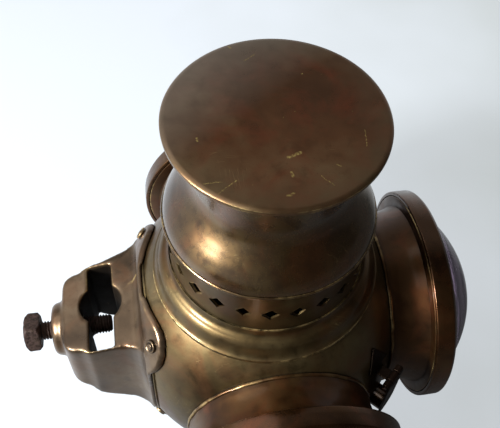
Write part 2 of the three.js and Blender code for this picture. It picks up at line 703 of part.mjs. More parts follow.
// The saddle seen from outside: broad upper shoulders, hollow flanks, two lower lobes and a
// rounded foot.
function saddleOutline() {
  const [upperEar, , lowerEar] = earPlaces();
  const path = new THREE.Path();
  const inset = (SADDLE_SHOULDER_RADIUS - UPPER_EAR_EDGE) / Math.SQRT2;
  const shoulder = point(upperEar.across - inset, upperEar.rise - inset);
  path.moveTo(0, SADDLE_TOP_RISE);
  path.lineTo(shoulder.x, shoulder.y + SADDLE_SHOULDER_RADIUS);
  path.absarc(shoulder.x, shoulder.y, SADDLE_SHOULDER_RADIUS, Math.PI / 2, -Math.PI / 12, true);
  path.quadraticCurveTo(SADDLE_WAIST, 0,
    lowerEar.across + LOWER_EAR_RADIUS / 2, lowerEar.rise + LOWER_EAR_RADIUS * Math.sin(Math.PI / 3));
  path.absarc(lowerEar.across, lowerEar.rise, LOWER_EAR_RADIUS, Math.PI / 3, -Math.PI / 2, true);
  path.quadraticCurveTo(BRACKET_HALF_WIDTH, lowerEar.rise - LOWER_EAR_RADIUS,
    BRACKET_HALF_WIDTH - BRACKET_CORNER, -SADDLE_BOTTOM_DROP + BRACKET_CORNER / 2);
  path.quadraticCurveTo(BRACKET_HALF_WIDTH / 2, -SADDLE_BOTTOM_DROP, 0, -SADDLE_BOTTOM_DROP);
  return mirrored(path, ARC_STEPS);
}

// The dish that follows the blank disc and, past its bead, the ball.
function saddleDish() {
  const flatOut = BLANK_PLATE_OUT + SEAT_GAP;
  const beadEdge = neckRadius + PORT_BEAD / 2 + SEAT_GAP;
  const reach = EAR_RIVET_RADIUS + UPPER_EAR_EDGE + SADDLE_THICKNESS;
  const stations = [EAR_RIVET_RADIUS, (EAR_RIVET_RADIUS + reach) / 2, reach];
  const inner = stations.map((radius) => [radius, overBall(radius, SADDLE_GAP)]);
  const outer = stations.map((radius) => [
    radius, overBall(radius, SADDLE_GAP + SADDLE_THICKNESS)]).reverse();
  return turned([
    [0, flatOut],
    [beadEdge, flatOut],
    ...inner,
    ...outer,
    [neckRadius, flatOut + SADDLE_THICKNESS],
    [0, flatOut + SADDLE_THICKNESS],
  ], LARGE_STEPS).rotateY(Math.PI / 2);
}

const saddleFaceOut = BLANK_PLATE_OUT + SEAT_GAP + SADDLE_THICKNESS;
const saddleRootOut = saddleFaceOut - SADDLE_THICKNESS / 2;

// The casting's body seen from the side: a top that climbs to the saddle, a sloping belly.
function bracketSideOutline() {
  const length = BRACKET_REACH - saddleFaceOut;
  const drop = BRACKET_HEEL_DROP - BRACKET_END_DROP;
  const belly = bellyShares.map(([outward, down]) => (
    point(saddleFaceOut + length * outward, -BRACKET_END_DROP - drop * down)));
  const kneeOut = saddleFaceOut + 2 * BRACKET_EDGE;
  const kneeRise = BRACKET_TOP_RISE + BRACKET_TOP_CLIMB;
  const rootTop = kneeRise + BRACKET_ROOT_RISE;
  const shape = new THREE.Shape();
  shape.moveTo(saddleRootOut, -BRACKET_HEEL_DROP);
  shape.lineTo(saddleFaceOut, -BRACKET_HEEL_DROP);
  shape.quadraticCurveTo(belly[2].x - BRACKET_EDGE, belly[2].y - BRACKET_EDGE / 2,
    belly[2].x + BRACKET_EDGE, belly[2].y + BRACKET_EDGE / 2);
  shape.lineTo(belly[1].x, belly[1].y);
  shape.lineTo(belly[0].x, belly[0].y);
  shape.quadraticCurveTo(BRACKET_REACH, belly[0].y + BRACKET_EDGE,
    BRACKET_REACH, -BRACKET_END_DROP);
  shape.lineTo(BRACKET_REACH, BRACKET_TOP_RISE - BRACKET_EDGE);
  shape.quadraticCurveTo(BRACKET_REACH, BRACKET_TOP_RISE,
    BRACKET_REACH - BRACKET_EDGE, BRACKET_TOP_RISE);
  shape.lineTo(kneeOut, kneeRise);
  shape.quadraticCurveTo(saddleFaceOut + BRACKET_EDGE / 2, kneeRise + BRACKET_EDGE / 2,
    saddleFaceOut, rootTop);
  shape.lineTo(saddleRootOut, rootTop);
  return shape;
}

// The casting's body from above: it widens into the saddle, sooner on the far side, and has
// rounded outer corners.
function bracketPlanOutline() {
  const socketOuterOut = SOCKET_INNER_OUT + SOCKET_WIDTH;
  const half = [[saddleRootOut, BRACKET_ROOT_HALF_WIDTH], [saddleFaceOut, BRACKET_ROOT_HALF_WIDTH]];
  const shape = new THREE.Shape();
  const lay = (side) => half.map(([out, wide]) => point(out, wide * side));
  const [rightRoot, rightFace] = lay(-1);
  const [leftRoot, leftFace] = lay(1);
  shape.moveTo(rightRoot.x, rightRoot.y);
  shape.lineTo(rightFace.x, rightFace.y);
  shape.quadraticCurveTo(SOCKET_INNER_OUT, -BRACKET_HALF_WIDTH - BRACKET_FAR_FLARE,
    socketOuterOut, -BRACKET_HALF_WIDTH);
  shape.lineTo(BRACKET_REACH - BRACKET_CORNER, -BRACKET_END_HALF_WIDTH);
  shape.quadraticCurveTo(BRACKET_REACH, -BRACKET_END_HALF_WIDTH,
    BRACKET_REACH, BRACKET_CORNER - BRACKET_END_HALF_WIDTH);
  shape.lineTo(BRACKET_REACH, BRACKET_END_HALF_WIDTH - BRACKET_CORNER);
  shape.quadraticCurveTo(BRACKET_REACH, BRACKET_END_HALF_WIDTH,
    BRACKET_REACH - BRACKET_CORNER, BRACKET_END_HALF_WIDTH);
  shape.lineTo(socketOuterOut, BRACKET_HALF_WIDTH);
  shape.lineTo(SOCKET_INNER_OUT, BRACKET_HALF_WIDTH);
  shape.quadraticCurveTo(saddleFaceOut + BRACKET_EDGE, BRACKET_HALF_WIDTH, leftFace.x, leftFace.y);
  shape.lineTo(leftRoot.x, leftRoot.y);
  return shape;
}

function socketTools(height) {
  const middle = SOCKET_INNER_OUT + SOCKET_WIDTH / 2;
  const slot = block(SOCKET_WIDTH, 2 * SOCKET_HALF_LENGTH, -height, height);
  const bore = rod(POST_BORE_RADIUS, 2 * height, 2 * SMALL_STEPS);
  return [slot.translate(middle, 0, 0), bore.translate(middle, POST_BORE_SHIFT, 0)];
}

function buildBracket() {
  const depth = BRACKET_HEEL_DROP + SADDLE_TOP_RISE;
  const across = 2 * (BRACKET_ROOT_HALF_WIDTH + CUT_OVERRUN);
  const along = 2 * (BRACKET_REACH + CUT_OVERRUN);
  const outline = solidOf(slabFacing(saddleOutline(), along));
  const saddle = solidOf(saddleDish()).intersect(outline);
  const body = solidOf(slabAcross(bracketSideOutline(), across))
    .intersect(solidOf(slab(bracketPlanOutline(), 2 * depth)))
    .intersect(outline);
  const boss = turned([
    [0, BRACKET_REACH - BRACKET_CORNER],
    [BOSS_RADIUS, BRACKET_REACH - BRACKET_CORNER],
    [BOSS_RADIUS, BOSS_REACH - BOSS_CHAMFER],
    [BOSS_RADIUS - BOSS_CHAMFER, BOSS_REACH],
    [0, BOSS_REACH],
  ], LENS_TURN_STEPS).rotateY(Math.PI / 2).translate(0, 0, SCREW_RISE);
  const holeRadius = SCREW_RADIUS + RUNNING_GAP;
  const screwHole = turned([
    [0, SOCKET_INNER_OUT + SOCKET_WIDTH / 2],
    [holeRadius, SOCKET_INNER_OUT + SOCKET_WIDTH / 2],
    [holeRadius, BOSS_REACH + CUT_OVERRUN],
    [0, BOSS_REACH + CUT_OVERRUN],
  ], SMALL_STEPS).rotateY(Math.PI / 2).translate(0, 0, SCREW_RISE);
  const joined = saddle.add(body).add(solidOf(boss));
  const holes = earPlaces().map(({ direction }) => rivetHole(direction).rotateZ(Math.PI));
  const casting = cut(joined, ...socketTools(depth), screwHole, ...holes);
  const mesh = piece(upper, "bracket_casting", casting, castBrass);
  mesh.rotation.z = Math.PI;
}

function buildRivets() {
  const headFoot = BALL_RADIUS + SADDLE_GAP + SADDLE_THICKNESS + SEAT_GAP;
  const tailTop = BALL_RADIUS - SHEET - RIVET_TAIL_GAP;
  const profile = [
    [0, tailTop - RIVET_TAIL_HEIGHT],
    [RIVET_HEAD_RADIUS * rivetTailShare, tailTop - RIVET_TAIL_HEIGHT / 2],
    [RIVET_HEAD_RADIUS * rivetTailShare, tailTop],
    [RIVET_RADIUS, tailTop],
    [RIVET_RADIUS, headFoot],
    [RIVET_HEAD_RADIUS, headFoot],
    [RIVET_HEAD_RADIUS * rivetDomeShare, headFoot + RIVET_HEAD_HEIGHT * rivetShoulderShare],
    [0, headFoot + RIVET_HEAD_HEIGHT],
  ];
  earPlaces().forEach(({ direction }, index) => {
    const rivet = alongRivet(turned(profile, TINY_STEPS), direction);
    piece(upper, `bracket_rivet_${index + 1}`, rivet, castBrass);
  });
}

function buildClampScrew() {
  const shank = turned([
    [0, SCREW_TIP_OUT],
    [SCREW_RADIUS - SCREW_TIP_CHAMFER, SCREW_TIP_OUT],
    [SCREW_RADIUS, SCREW_TIP_OUT + SCREW_TIP_CHAMFER],
    [SCREW_RADIUS, SCREW_NECK_END_OUT + SCREW_TIP_CHAMFER],
    [0, SCREW_NECK_END_OUT + SCREW_TIP_CHAMFER],
  ], SMALL_STEPS).rotateY(Math.PI / 2);
  const headTop = SCREW_NECK_END_OUT + SCREW_HEAD_HEIGHT;
  const head = block(SCREW_HEAD_ACROSS, SCREW_HEAD_ACROSS, SCREW_NECK_END_OUT, headTop)
    .rotateZ(radians(SCREW_HEAD_TURN)).rotateY(Math.PI / 2);
  const mesh = piece(upper, "clamp_screw", join(head, shank), iron);
  mesh.rotation.z = Math.PI;
  mesh.position.z = SCREW_RISE;
}

// The sight hole's pieces are made looking along +X and then turned to their corner.
function buildSightHole() {
  const corner = new THREE.Group();
  corner.rotation.z = radians(SIGHT_AZIMUTH);
  upper.add(corner);
  const plateOut = HINGE_OUT + HINGE_CURL_RADIUS - SHUTTER_THICKNESS;
  const mouth = plateOut - SEAT_GAP;
  const bore = SIGHT_TUBE_RADIUS - SIGHT_TUBE_WALL;
  const tail = overBall(SIGHT_TUBE_RADIUS + SIGHT_DROP) - SIGHT_TUBE_TAIL;
  const tube = turned([
    [bore, tail],
    [SIGHT_TUBE_RADIUS, tail],
    [SIGHT_TUBE_RADIUS, mouth],
    [bore, mouth],
  ], SMALL_STEPS).rotateY(Math.PI / 2).translate(0, 0, -SIGHT_DROP);
  piece(corner, "sight_tube", tube, brass);

  const knuckle = SHUTTER_WIDTH * HINGE_KNUCKLE_SHARE;
  const pinReach = SHUTTER_WIDTH / 2 + SHEET;
  const pin = rodAlongY(HINGE_PIN_RADIUS, -pinReach, pinReach, TINY_STEPS);
  piece(corner, "hinge_pin", pin.translate(HINGE_OUT, 0, HINGE_RISE), iron);

  const ballOut = overBall(HINGE_RISE, SEAT_GAP);
  const topOut = overBall(HINGE_RISE + LEAF_HEIGHT, SEAT_GAP);
  const strap = new THREE.Shape([
    point(ballOut, HINGE_RISE - LEAF_THICKNESS),
    point(HINGE_OUT, HINGE_RISE - LEAF_THICKNESS),
    point(HINGE_OUT, HINGE_RISE),
    point(ballOut + LEAF_THICKNESS, HINGE_RISE),
    point(topOut + LEAF_THICKNESS, HINGE_RISE + LEAF_HEIGHT),
    point(topOut, HINGE_RISE + LEAF_HEIGHT),
  ]);
  const triangle = new THREE.Shape([
    point(-LEAF_WIDTH / 2, HINGE_RISE + HINGE_CURL_RADIUS),
    point(-knuckle / 2, HINGE_RISE + HINGE_CURL_RADIUS),
    point(-knuckle / 2, HINGE_RISE - HINGE_CURL_RADIUS),
    point(knuckle / 2, HINGE_RISE - HINGE_CURL_RADIUS),
    point(knuckle / 2, HINGE_RISE + HINGE_CURL_RADIUS),
    point(LEAF_WIDTH / 2, HINGE_RISE + HINGE_CURL_RADIUS),
    point(0, HINGE_RISE + LEAF_HEIGHT + LEAF_THICKNESS),
  ]);
  const curl = rodAlongY(HINGE_CURL_RADIUS, -knuckle / 2, knuckle / 2, TINY_STEPS)
    .translate(HINGE_OUT, 0, HINGE_RISE);
  const pinHole = rodAlongY(holeRound(HINGE_PIN_RADIUS, TINY_STEPS), -pinReach, pinReach, TINY_STEPS)
    .translate(HINGE_OUT, 0, HINGE_RISE);
  const ballClear = new THREE.SphereGeometry(BALL_RADIUS + 2 * SADDLE_GAP, LARGE_STEPS, LARGE_STEPS / 2);
  const leaf = solidOf(slabAcross(strap, LEAF_WIDTH))
    .intersect(solidOf(slabFacing(triangle, 2 * HINGE_OUT + 2 * CUT_OVERRUN)))
    .add(solidOf(curl));
  piece(corner, "hinge_leaf", cut(leaf, ballClear, pinHole), brass);

  const endRadius = SHUTTER_WIDTH / 2;
  const foot = HINGE_RISE - SHUTTER_DROP + endRadius;
  const tongue = new THREE.Shape();
  tongue.moveTo(endRadius, HINGE_RISE);
  tongue.lineTo(-endRadius, HINGE_RISE);
  tongue.lineTo(-endRadius, foot);
  tongue.absarc(0, foot, endRadius, Math.PI, 2 * Math.PI, false);
  const plate = slabFacing(tongue, SHUTTER_THICKNESS)
    .translate(plateOut + SHUTTER_THICKNESS / 2, 0, 0);
  const curls = rodAlongY(HINGE_CURL_RADIUS, -endRadius, endRadius, TINY_STEPS)
    .translate(HINGE_OUT, 0, HINGE_RISE);
  const gap = block(2 * HINGE_CURL_RADIUS + CUT_OVERRUN, knuckle + 2 * SEAT_GAP,
    HINGE_RISE - HINGE_CURL_RADIUS - SEAT_GAP, HINGE_RISE + HINGE_CURL_RADIUS + SEAT_GAP);
  const shutter = cut(join(plate, curls), gap.translate(HINGE_OUT, 0, 0), pinHole);
  piece(corner, "sight_shutter", shutter, brass);
}

// A block that follows a stretch of a ring between two angles and two heights.
function ringSector(inner, outer, from, to, bottom, top) {
  const shape = new THREE.Shape();
  shape.absarc(0, 0, outer, radians(from), radians(to), false);
  shape.absarc(0, 0, inner, radians(to), radians(from), true);
  return slab(shape, top - bottom).translate(0, 0, (bottom + top) / 2);
}

function buildSkirt() {
  const rise = (radius) => AXIS_HEIGHT - overBall(radius, SEAT_GAP);
  const beadTop = SKIRT_BOTTOM + SKIRT_BEAD_HEIGHT;
  const band = turned([
    [skirtBore, SKIRT_BOTTOM],
    [SKIRT_RADIUS, SKIRT_BOTTOM],
    [SKIRT_RADIUS + SKIRT_BEAD, (SKIRT_BOTTOM + beadTop) / 2],
    [SKIRT_RADIUS, beadTop],
    [SKIRT_RADIUS, rise(SKIRT_RADIUS)],
    [skirtBore, rise(skirtBore)],
  ], LARGE_STEPS);
  const lugHalf = THREE.MathUtils.radToDeg((LUG_WIDTH / 2 + LOOSE_GAP) / skirtBore);
  const inner = skirtBore - SHEET;
  const outer = SKIRT_RADIUS + SKIRT_BEAD + SHEET;
  const slots = Array.from({ length: LUG_COUNT }, (unused, index) => {
    const lock = (360 / LUG_COUNT) * (index + 0.5);
    const free = lock + TWIST_ANGLE;
    return [
      ringSector(inner, outer, lock - lugHalf, free + lugHalf,
        LUG_BOTTOM - LOOSE_GAP, LUG_BOTTOM + LUG_HEIGHT + LOOSE_GAP),
      ringSector(inner, outer, free - lugHalf, free + lugHalf,
        SKIRT_BOTTOM - CUT_OVERRUN, LUG_BOTTOM + LUG_HEIGHT + LOOSE_GAP),
    ];
  }).flat();
  piece(lamp, "body_skirt", cut(solidOf(band), ...slots), brass);
}

const potSleeve = skirtBore - LOOSE_GAP;
const potBeadTop = SKIRT_BOTTOM - SEAT_GAP;
const potBore = POT_RADIUS - SHEET;

function buildPot() {
  const beadFoot = potBeadTop - POT_BEAD_HEIGHT;
  const can = turned([
    [0, 0],
    [POT_RADIUS - POT_CORNER, 0],
    [POT_RADIUS - POT_CORNER / 4, POT_CORNER / 4],
    [POT_RADIUS, POT_CORNER],
    [POT_RADIUS, beadFoot],
    [POT_BEAD_RADIUS, beadFoot + POT_BEAD_HEIGHT / 3],
    [POT_BEAD_RADIUS, potBeadTop - POT_BEAD_HEIGHT / 4],
    [potSleeve, potBeadTop],
    [potSleeve, POT_TOP],
    [potSleeve - SHEET, POT_TOP],
    [potSleeve - SHEET, beadFoot + SHEET],
    [potBore, beadFoot],
    [potBore, POT_CORNER],
    [potBore - POT_CORNER / 2, SHEET],
    [0, SHEET],
  ], LARGE_STEPS);
  const reach = SKIRT_RADIUS + LUG_STAND;
  const root = potSleeve - SHEET / 2;
  const lugs = Array.from({ length: LUG_COUNT }, (unused, index) => {
    const lug = block(reach - root, LUG_WIDTH, LUG_BOTTOM, LUG_BOTTOM + LUG_HEIGHT);
    const turn = radians((360 / LUG_COUNT) * (index + 0.5));
    return lug.translate((reach + root) / 2, 0, 0).rotateZ(turn);
  });
  piece(lamp, "fount_pot", join(can, ...lugs), brass);
}

const tankBottom = SHEET + SEAT_GAP;
const tankWellRadius = COLLAR_SPIGOT_RADIUS + SEAT_GAP;

function buildTank() {
  const can = turned([
    [0, tankBottom],
    [TANK_RADIUS - TANK_CORNER, tankBottom],
    [TANK_RADIUS, tankBottom + TANK_CORNER],
    [TANK_RADIUS, TANK_SHOULDER],
    [TANK_RADIUS - TANK_CORNER, TANK_SHOULDER + TANK_CORNER],
    [TANK_NECK_RADIUS, TANK_TOP],
    [tankWellRadius, TANK_TOP],
    [tankWellRadius, TANK_TOP - TANK_WELL_DEPTH],
    [0, TANK_TOP - TANK_WELL_DEPTH],
  ], 2 * SMALL_STEPS);
  const wellFloor = TANK_TOP - TANK_WELL_DEPTH - SHEET;
  const oilRoom = turned([
    [0, tankBottom + SHEET],
    [TANK_RADIUS - TANK_CORNER, tankBottom + SHEET],
    [TANK_RADIUS - SHEET, tankBottom + TANK_CORNER],
    [TANK_RADIUS - SHEET, TANK_SHOULDER],
    [TANK_RADIUS - TANK_CORNER, TANK_SHOULDER + TANK_CORNER - SHEET],
    [TANK_NECK_RADIUS, TANK_TOP - SHEET],
    [tankWellRadius + SHEET, TANK_TOP - SHEET],
    [tankWellRadius + SHEET, wellFloor],
    [0, wellFloor],
  ], 2 * SMALL_STEPS);
  const wickBore = block(WICK_WIDTH + 2 * LOOSE_GAP, WICK_THICKNESS + 2 * LOOSE_GAP,
    wellFloor - CUT_OVERRUN, TANK_TOP);
  const neck = rod(FILLER_NECK_RADIUS, TANK_TOP - TANK_SHOULDER)
    .translate(-FILLER_OFFSET, 0, (TANK_TOP + TANK_SHOULDER) / 2);
  const bore = rod(FILLER_BORE_RADIUS, 2 * FILLER_DEPTH).translate(-FILLER_OFFSET, 0, TANK_TOP);
  const tank = cut(join(can, neck), oilRoom, bore, wickBore.rotateZ(radians(RAISER_AZIMUTH)));
  piece(lamp, "fount_tank", tank, tinned);

  const plugRadius = FILLER_BORE_RADIUS - SEAT_GAP;
  const capBottom = TANK_TOP + SEAT_GAP;
  const cap = turned([
    [0, TANK_TOP - FILLER_PLUG_LENGTH],
    [plugRadius, TANK_TOP - FILLER_PLUG_LENGTH],
    [plugRadius, capBottom],
    [FILLER_CAP_RADIUS, capBottom],
    [FILLER_CAP_RADIUS, capBottom + FILLER_CAP_HEIGHT],
    [0, capBottom + FILLER_CAP_HEIGHT],
  ], 2 * FILLER_NOTCH_COUNT);
  const notches = Array.from({ length: FILLER_NOTCH_COUNT }, (unused, index) => (
    rod(FILLER_NOTCH_RADIUS, 2 * FILLER_CAP_HEIGHT, FILLER_NOTCH_COUNT / 2)
      .translate(FILLER_CAP_RADIUS, 0, capBottom + FILLER_CAP_HEIGHT)
      .rotateZ((2 * Math.PI * index) / FILLER_NOTCH_COUNT)));
  const mesh = piece(lamp, "filler_cap", cut(solidOf(cap), ...notches), brass);
  mesh.position.x = -FILLER_OFFSET;
}

// Bowed strips that hold the tank steady in the pot.
function buildSprings() {
  const wall = potBore - SEAT_GAP;
  const touch = TANK_RADIUS + SEAT_GAP;
  const bulge = Math.sqrt(wall ** 2 - (SPRING_WIDTH / 2) ** 2);
  const middle = SPRING_BOTTOM + SPRING_HEIGHT / 2;
  const shape = new THREE.Shape();
  shape.moveTo(bulge, SPRING_BOTTOM);
  shape.quadraticCurveTo(2 * (touch + SPRING_THICKNESS) - bulge, middle,
    bulge, SPRING_BOTTOM + SPRING_HEIGHT);
  shape.lineTo(bulge - SPRING_THICKNESS, SPRING_BOTTOM + SPRING_HEIGHT);
  shape.quadraticCurveTo(2 * touch - bulge + SPRING_THICKNESS, middle,
    bulge - SPRING_THICKNESS, SPRING_BOTTOM);
  for (let index = 0; index < SPRING_COUNT; index += 1) {
    const turn = radians((360 / SPRING_COUNT) * index);
    piece(lamp, `fount_spring_${index + 1}`, slabAcross(shape, SPRING_WIDTH).rotateZ(turn), tinned);
  }
}

const collarTop = TANK_TOP + SEAT_GAP + COLLAR_RING_HEIGHT;
const galleryBottom = collarTop + SEAT_GAP;
const galleryTop = galleryBottom + GALLERY_THICKNESS;
const neckTop = galleryTop + BURNER_NECK_HEIGHT;
const tubeWidth = WICK_WIDTH + 2 * (SEAT_GAP + WICK_TUBE_WALL);
const tubeDepth = WICK_THICKNESS + 2 * (SEAT_GAP + WICK_TUBE_WALL);
const shaftOffset = WICK_THICKNESS / 2 + SEAT_GAP + RAISER_WHEEL_RADIUS;
const shaftHeight = galleryTop + BURNER_NECK_HEIGHT / 2;

function buildBurner() {
  const burner = new THREE.Group();
  burner.rotation.z = radians(RAISER_AZIMUTH);
  lamp.add(burner);
  const plugBottom = collarTop - BURNER_PLUG_LENGTH;
  const collarBore = BURNER_PLUG_RADIUS + SEAT_GAP;
  const collarBottom = TANK_TOP + SEAT_GAP;
  const spigotBottom = TANK_TOP - TANK_WELL_DEPTH + SEAT_GAP;
  const collar = turned([
    [collarBore, spigotBottom],
    [COLLAR_SPIGOT_RADIUS, spigotBottom],
    [COLLAR_SPIGOT_RADIUS, collarBottom],
    [COLLAR_RING_RADIUS, collarBottom],
    [COLLAR_RING_RADIUS, collarTop],
    [collarBore, collarTop],
  ], SMALL_STEPS);
  piece(burner, "burner_collar", collar, brass);

  const core = turned([
    [0, plugBottom],
    [BURNER_PLUG_RADIUS, plugBottom],
    [BURNER_PLUG_RADIUS, galleryBottom],
    [GALLERY_RADIUS, galleryBottom],
    [GALLERY_RADIUS, galleryTop],
    [BURNER_NECK_RADIUS, galleryTop],
    [BURNER_NECK_RADIUS, neckTop],
    [0, neckTop],
  ], SMALL_STEPS);
  const passage = block(tubeWidth + 2 * SEAT_GAP, tubeDepth + 2 * SEAT_GAP,
    plugBottom - CUT_OVERRUN, neckTop + CUT_OVERRUN);
  const wheelRoom = RAISER_WHEEL_RADIUS + 2 * SEAT_GAP;
  const chamber = block(RAISER_WHEEL_WIDTH + 4 * SEAT_GAP, wheelRoom + shaftOffset,
    shaftHeight - wheelRoom, shaftHeight + wheelRoom)
    .translate(0, (wheelRoom + shaftOffset) / 2, 0);
  const shaftHole = rodAlongX(holeRound(RAISER_SHAFT_RADIUS, TINY_STEPS), -GALLERY_RADIUS,
    GALLERY_RADIUS, TINY_STEPS).translate(0, shaftOffset, shaftHeight);
  const airHoles = Array.from({ length: GALLERY_HOLE_COUNT }, (unused, index) => (
    rod(GALLERY_HOLE_RADIUS, 2 * CUT_OVERRUN, ARC_STEPS)
      .translate((BURNER_NECK_RADIUS + CONE_FOOT_RADIUS) / 2, 0, galleryBottom)
      .rotateZ((2 * Math.PI * index) / GALLERY_HOLE_COUNT)));
  const body = cut(solidOf(core), passage, chamber, shaftHole, ...airHoles);
  piece(burner, "burner_body", body, brass);

  const tubeShell = block(tubeWidth, tubeDepth, plugBottom, WICK_TUBE_TOP);
  const tubeBore = block(WICK_WIDTH + 2 * SEAT_GAP, WICK_THICKNESS + 2 * SEAT_GAP,
    plugBottom - CUT_OVERRUN, WICK_TUBE_TOP + CUT_OVERRUN);
  const window = block(RAISER_WHEEL_WIDTH + 4 * SEAT_GAP, tubeDepth,
    shaftHeight - wheelRoom, shaftHeight + wheelRoom).translate(0, tubeDepth / 2, 0);
  piece(burner, "wick_tube", cut(solidOf(tubeShell), tubeBore, window), brass);
  const wickBottom = TANK_TOP - TANK_WELL_DEPTH - WICK_TAIL / 2;
  const wick = block(WICK_WIDTH, WICK_THICKNESS, wickBottom, WICK_TUBE_TOP + WICK_STAND);
  piece(burner, "wick", wick, cotton);

  const shaft = rodAlongX(RAISER_SHAFT_RADIUS, -BURNER_NECK_RADIUS, RAISER_REACH, TINY_STEPS);
  const wheel = rodAlongX(RAISER_WHEEL_RADIUS, -RAISER_WHEEL_WIDTH / 2, RAISER_WHEEL_WIDTH / 2,
    TINY_STEPS);
  const raiser = piece(burner, "raiser_shaft", join(shaft, wheel), brass);
  raiser.position.set(0, shaftOffset, shaftHeight);
  const knobTo = RAISER_REACH + SEAT_GAP + RAISER_KNOB_WIDTH;
  const knobDisc = rodAlongX(RAISER_KNOB_RADIUS, RAISER_REACH - RAISER_KNOB_WIDTH, knobTo);
  const knobBore = rodAlongX(RAISER_SHAFT_RADIUS + SEAT_GAP, RAISER_REACH - CUT_OVERRUN,
    RAISER_REACH + SEAT_GAP, TINY_STEPS);
  const knob = piece(burner, "raiser_knob", cut(solidOf(knobDisc), knobBore), brass);
  knob.position.set(0, shaftOffset, shaftHeight);

  const coneFoot = galleryTop + SEAT_GAP;
  const cone = turned([
    [CONE_FOOT_RADIUS - CONE_WALL, coneFoot],
    [CONE_FOOT_RADIUS, coneFoot],
    [CONE_SHOULDER_RADIUS, coneFoot + CONE_SHOULDER_HEIGHT],
    [CONE_MOUTH_RADIUS, coneFoot + CONE_HEIGHT],
    [CONE_MOUTH_RADIUS - CONE_WALL, coneFoot + CONE_HEIGHT],
    [CONE_SHOULDER_RADIUS - CONE_WALL, coneFoot + CONE_SHOULDER_HEIGHT],
  ], LENS_TURN_STEPS);
  const shaftSlot = rodAlongX(RAISER_SHAFT_RADIUS + LOOSE_GAP, 0, GALLERY_RADIUS + CUT_OVERRUN,
    TINY_STEPS).translate(0, shaftOffset, shaftHeight);
  piece(burner, "flame_cone", cut(solidOf(cone), shaftSlot), brass);
}

buildBody();
buildLensSides();
buildBlankDisc();
buildCollar();
buildVentRing();
buildHood();
buildCap();
buildDraughtTube();
buildBracket();
buildRivets();
buildClampScrew();
buildSightHole();
buildSkirt();
buildPot();
buildTank();
buildSprings();
buildBurner();

export default lamp;
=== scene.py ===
import json
from functools import partial
from math import asin, ceil, cos, degrees, pi, radians, sin, sqrt, tan

import bmesh
import bpy
import numpy as np
from mathutils import Matrix, Vector, noise

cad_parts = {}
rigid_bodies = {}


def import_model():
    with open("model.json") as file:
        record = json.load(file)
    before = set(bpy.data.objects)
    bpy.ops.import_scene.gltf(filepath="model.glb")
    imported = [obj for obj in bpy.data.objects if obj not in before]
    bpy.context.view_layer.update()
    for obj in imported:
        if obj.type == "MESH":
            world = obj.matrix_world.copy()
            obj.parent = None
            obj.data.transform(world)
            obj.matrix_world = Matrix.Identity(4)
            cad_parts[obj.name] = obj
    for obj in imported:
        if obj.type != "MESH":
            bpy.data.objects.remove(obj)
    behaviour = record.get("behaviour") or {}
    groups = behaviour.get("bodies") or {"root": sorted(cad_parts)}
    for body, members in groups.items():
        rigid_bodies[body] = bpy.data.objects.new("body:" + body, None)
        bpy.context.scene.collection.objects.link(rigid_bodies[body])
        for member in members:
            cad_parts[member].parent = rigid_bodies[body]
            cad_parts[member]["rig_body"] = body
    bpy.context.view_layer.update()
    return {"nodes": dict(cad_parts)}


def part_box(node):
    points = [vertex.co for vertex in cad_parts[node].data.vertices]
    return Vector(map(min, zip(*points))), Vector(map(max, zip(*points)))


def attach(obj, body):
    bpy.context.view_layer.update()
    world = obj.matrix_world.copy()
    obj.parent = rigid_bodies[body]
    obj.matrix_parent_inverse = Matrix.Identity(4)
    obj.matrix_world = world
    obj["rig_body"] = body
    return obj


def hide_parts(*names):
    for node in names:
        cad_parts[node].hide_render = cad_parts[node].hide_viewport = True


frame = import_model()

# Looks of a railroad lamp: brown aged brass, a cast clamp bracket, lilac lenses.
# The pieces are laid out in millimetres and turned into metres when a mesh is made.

NODES = frame["nodes"]
MM = 0.001
SHEET = 1.2
FINE = 144
MEDIUM = 96
SMALL = 40
SQUARE = ((-1, -1), (1, -1), (1, 1), (-1, 1))


def new_object(name, data):
    made = bpy.data.objects.new(name, data)
    bpy.context.scene.collection.objects.link(made)
    return made


# ---- camera: the photograph's view ----

CAMERA_PLACE = (-0.06002, -0.25216, 0.60072)
CAMERA_HEADING = 11.0
CAMERA_PITCH = 54.30
CAMERA_ROLL = -2.91
CAMERA_LENS = 54.74


def make_camera():
    heading, pitch, roll = (radians(a) for a in (CAMERA_HEADING, CAMERA_PITCH, CAMERA_ROLL))
    ahead = Vector((sin(heading) * cos(pitch), cos(heading) * cos(pitch), -sin(pitch)))
    right = Vector((cos(heading), -sin(heading), 0))
    down = ahead.cross(right)
    across = right * cos(roll) + down * sin(roll)
    fall = down * cos(roll) - right * sin(roll)
    matrix = Matrix((across, -fall, -ahead)).transposed().to_4x4()
    matrix.translation = CAMERA_PLACE
    data = bpy.data.cameras.new("camera")
    data.sensor_fit = "HORIZONTAL"
    data.sensor_width = 36
    data.lens = CAMERA_LENS
    data.clip_start = 0.01
    camera = new_object("camera", data)
    camera.matrix_world = matrix
    bpy.context.scene.camera = camera


# ---- what the frame says ----


def read(items, key, width, kind=np.float32):
    found = np.zeros(len(items) * width, kind)
    items.foreach_get(key, found)
    return found.reshape(-1, width) if width > 1 else found


def points_of(piece):
    return read(piece.data.vertices, "co", 3) / MM


def corners(node):
    low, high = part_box(node)
    return low / MM, high / MM


def body_of_node(node):
    return NODES[node]["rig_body"]


def middle_rise(node):
    low, high = corners(node)
    return (low.z + high.z) / 2


AXIS = middle_rise("lens_ring_right")
CENTRE = np.array((0, 0, AXIS))


def places_of(piece):
    """A piece's points in mm from the ball's centre."""
    return points_of(piece) - CENTRE


BALL = float(np.linalg.norm(places_of(NODES["body_shell"]), axis=1).max())


def over_ball(radius, gap=0.0):
    return sqrt((BALL + gap) ** 2 - radius ** 2)


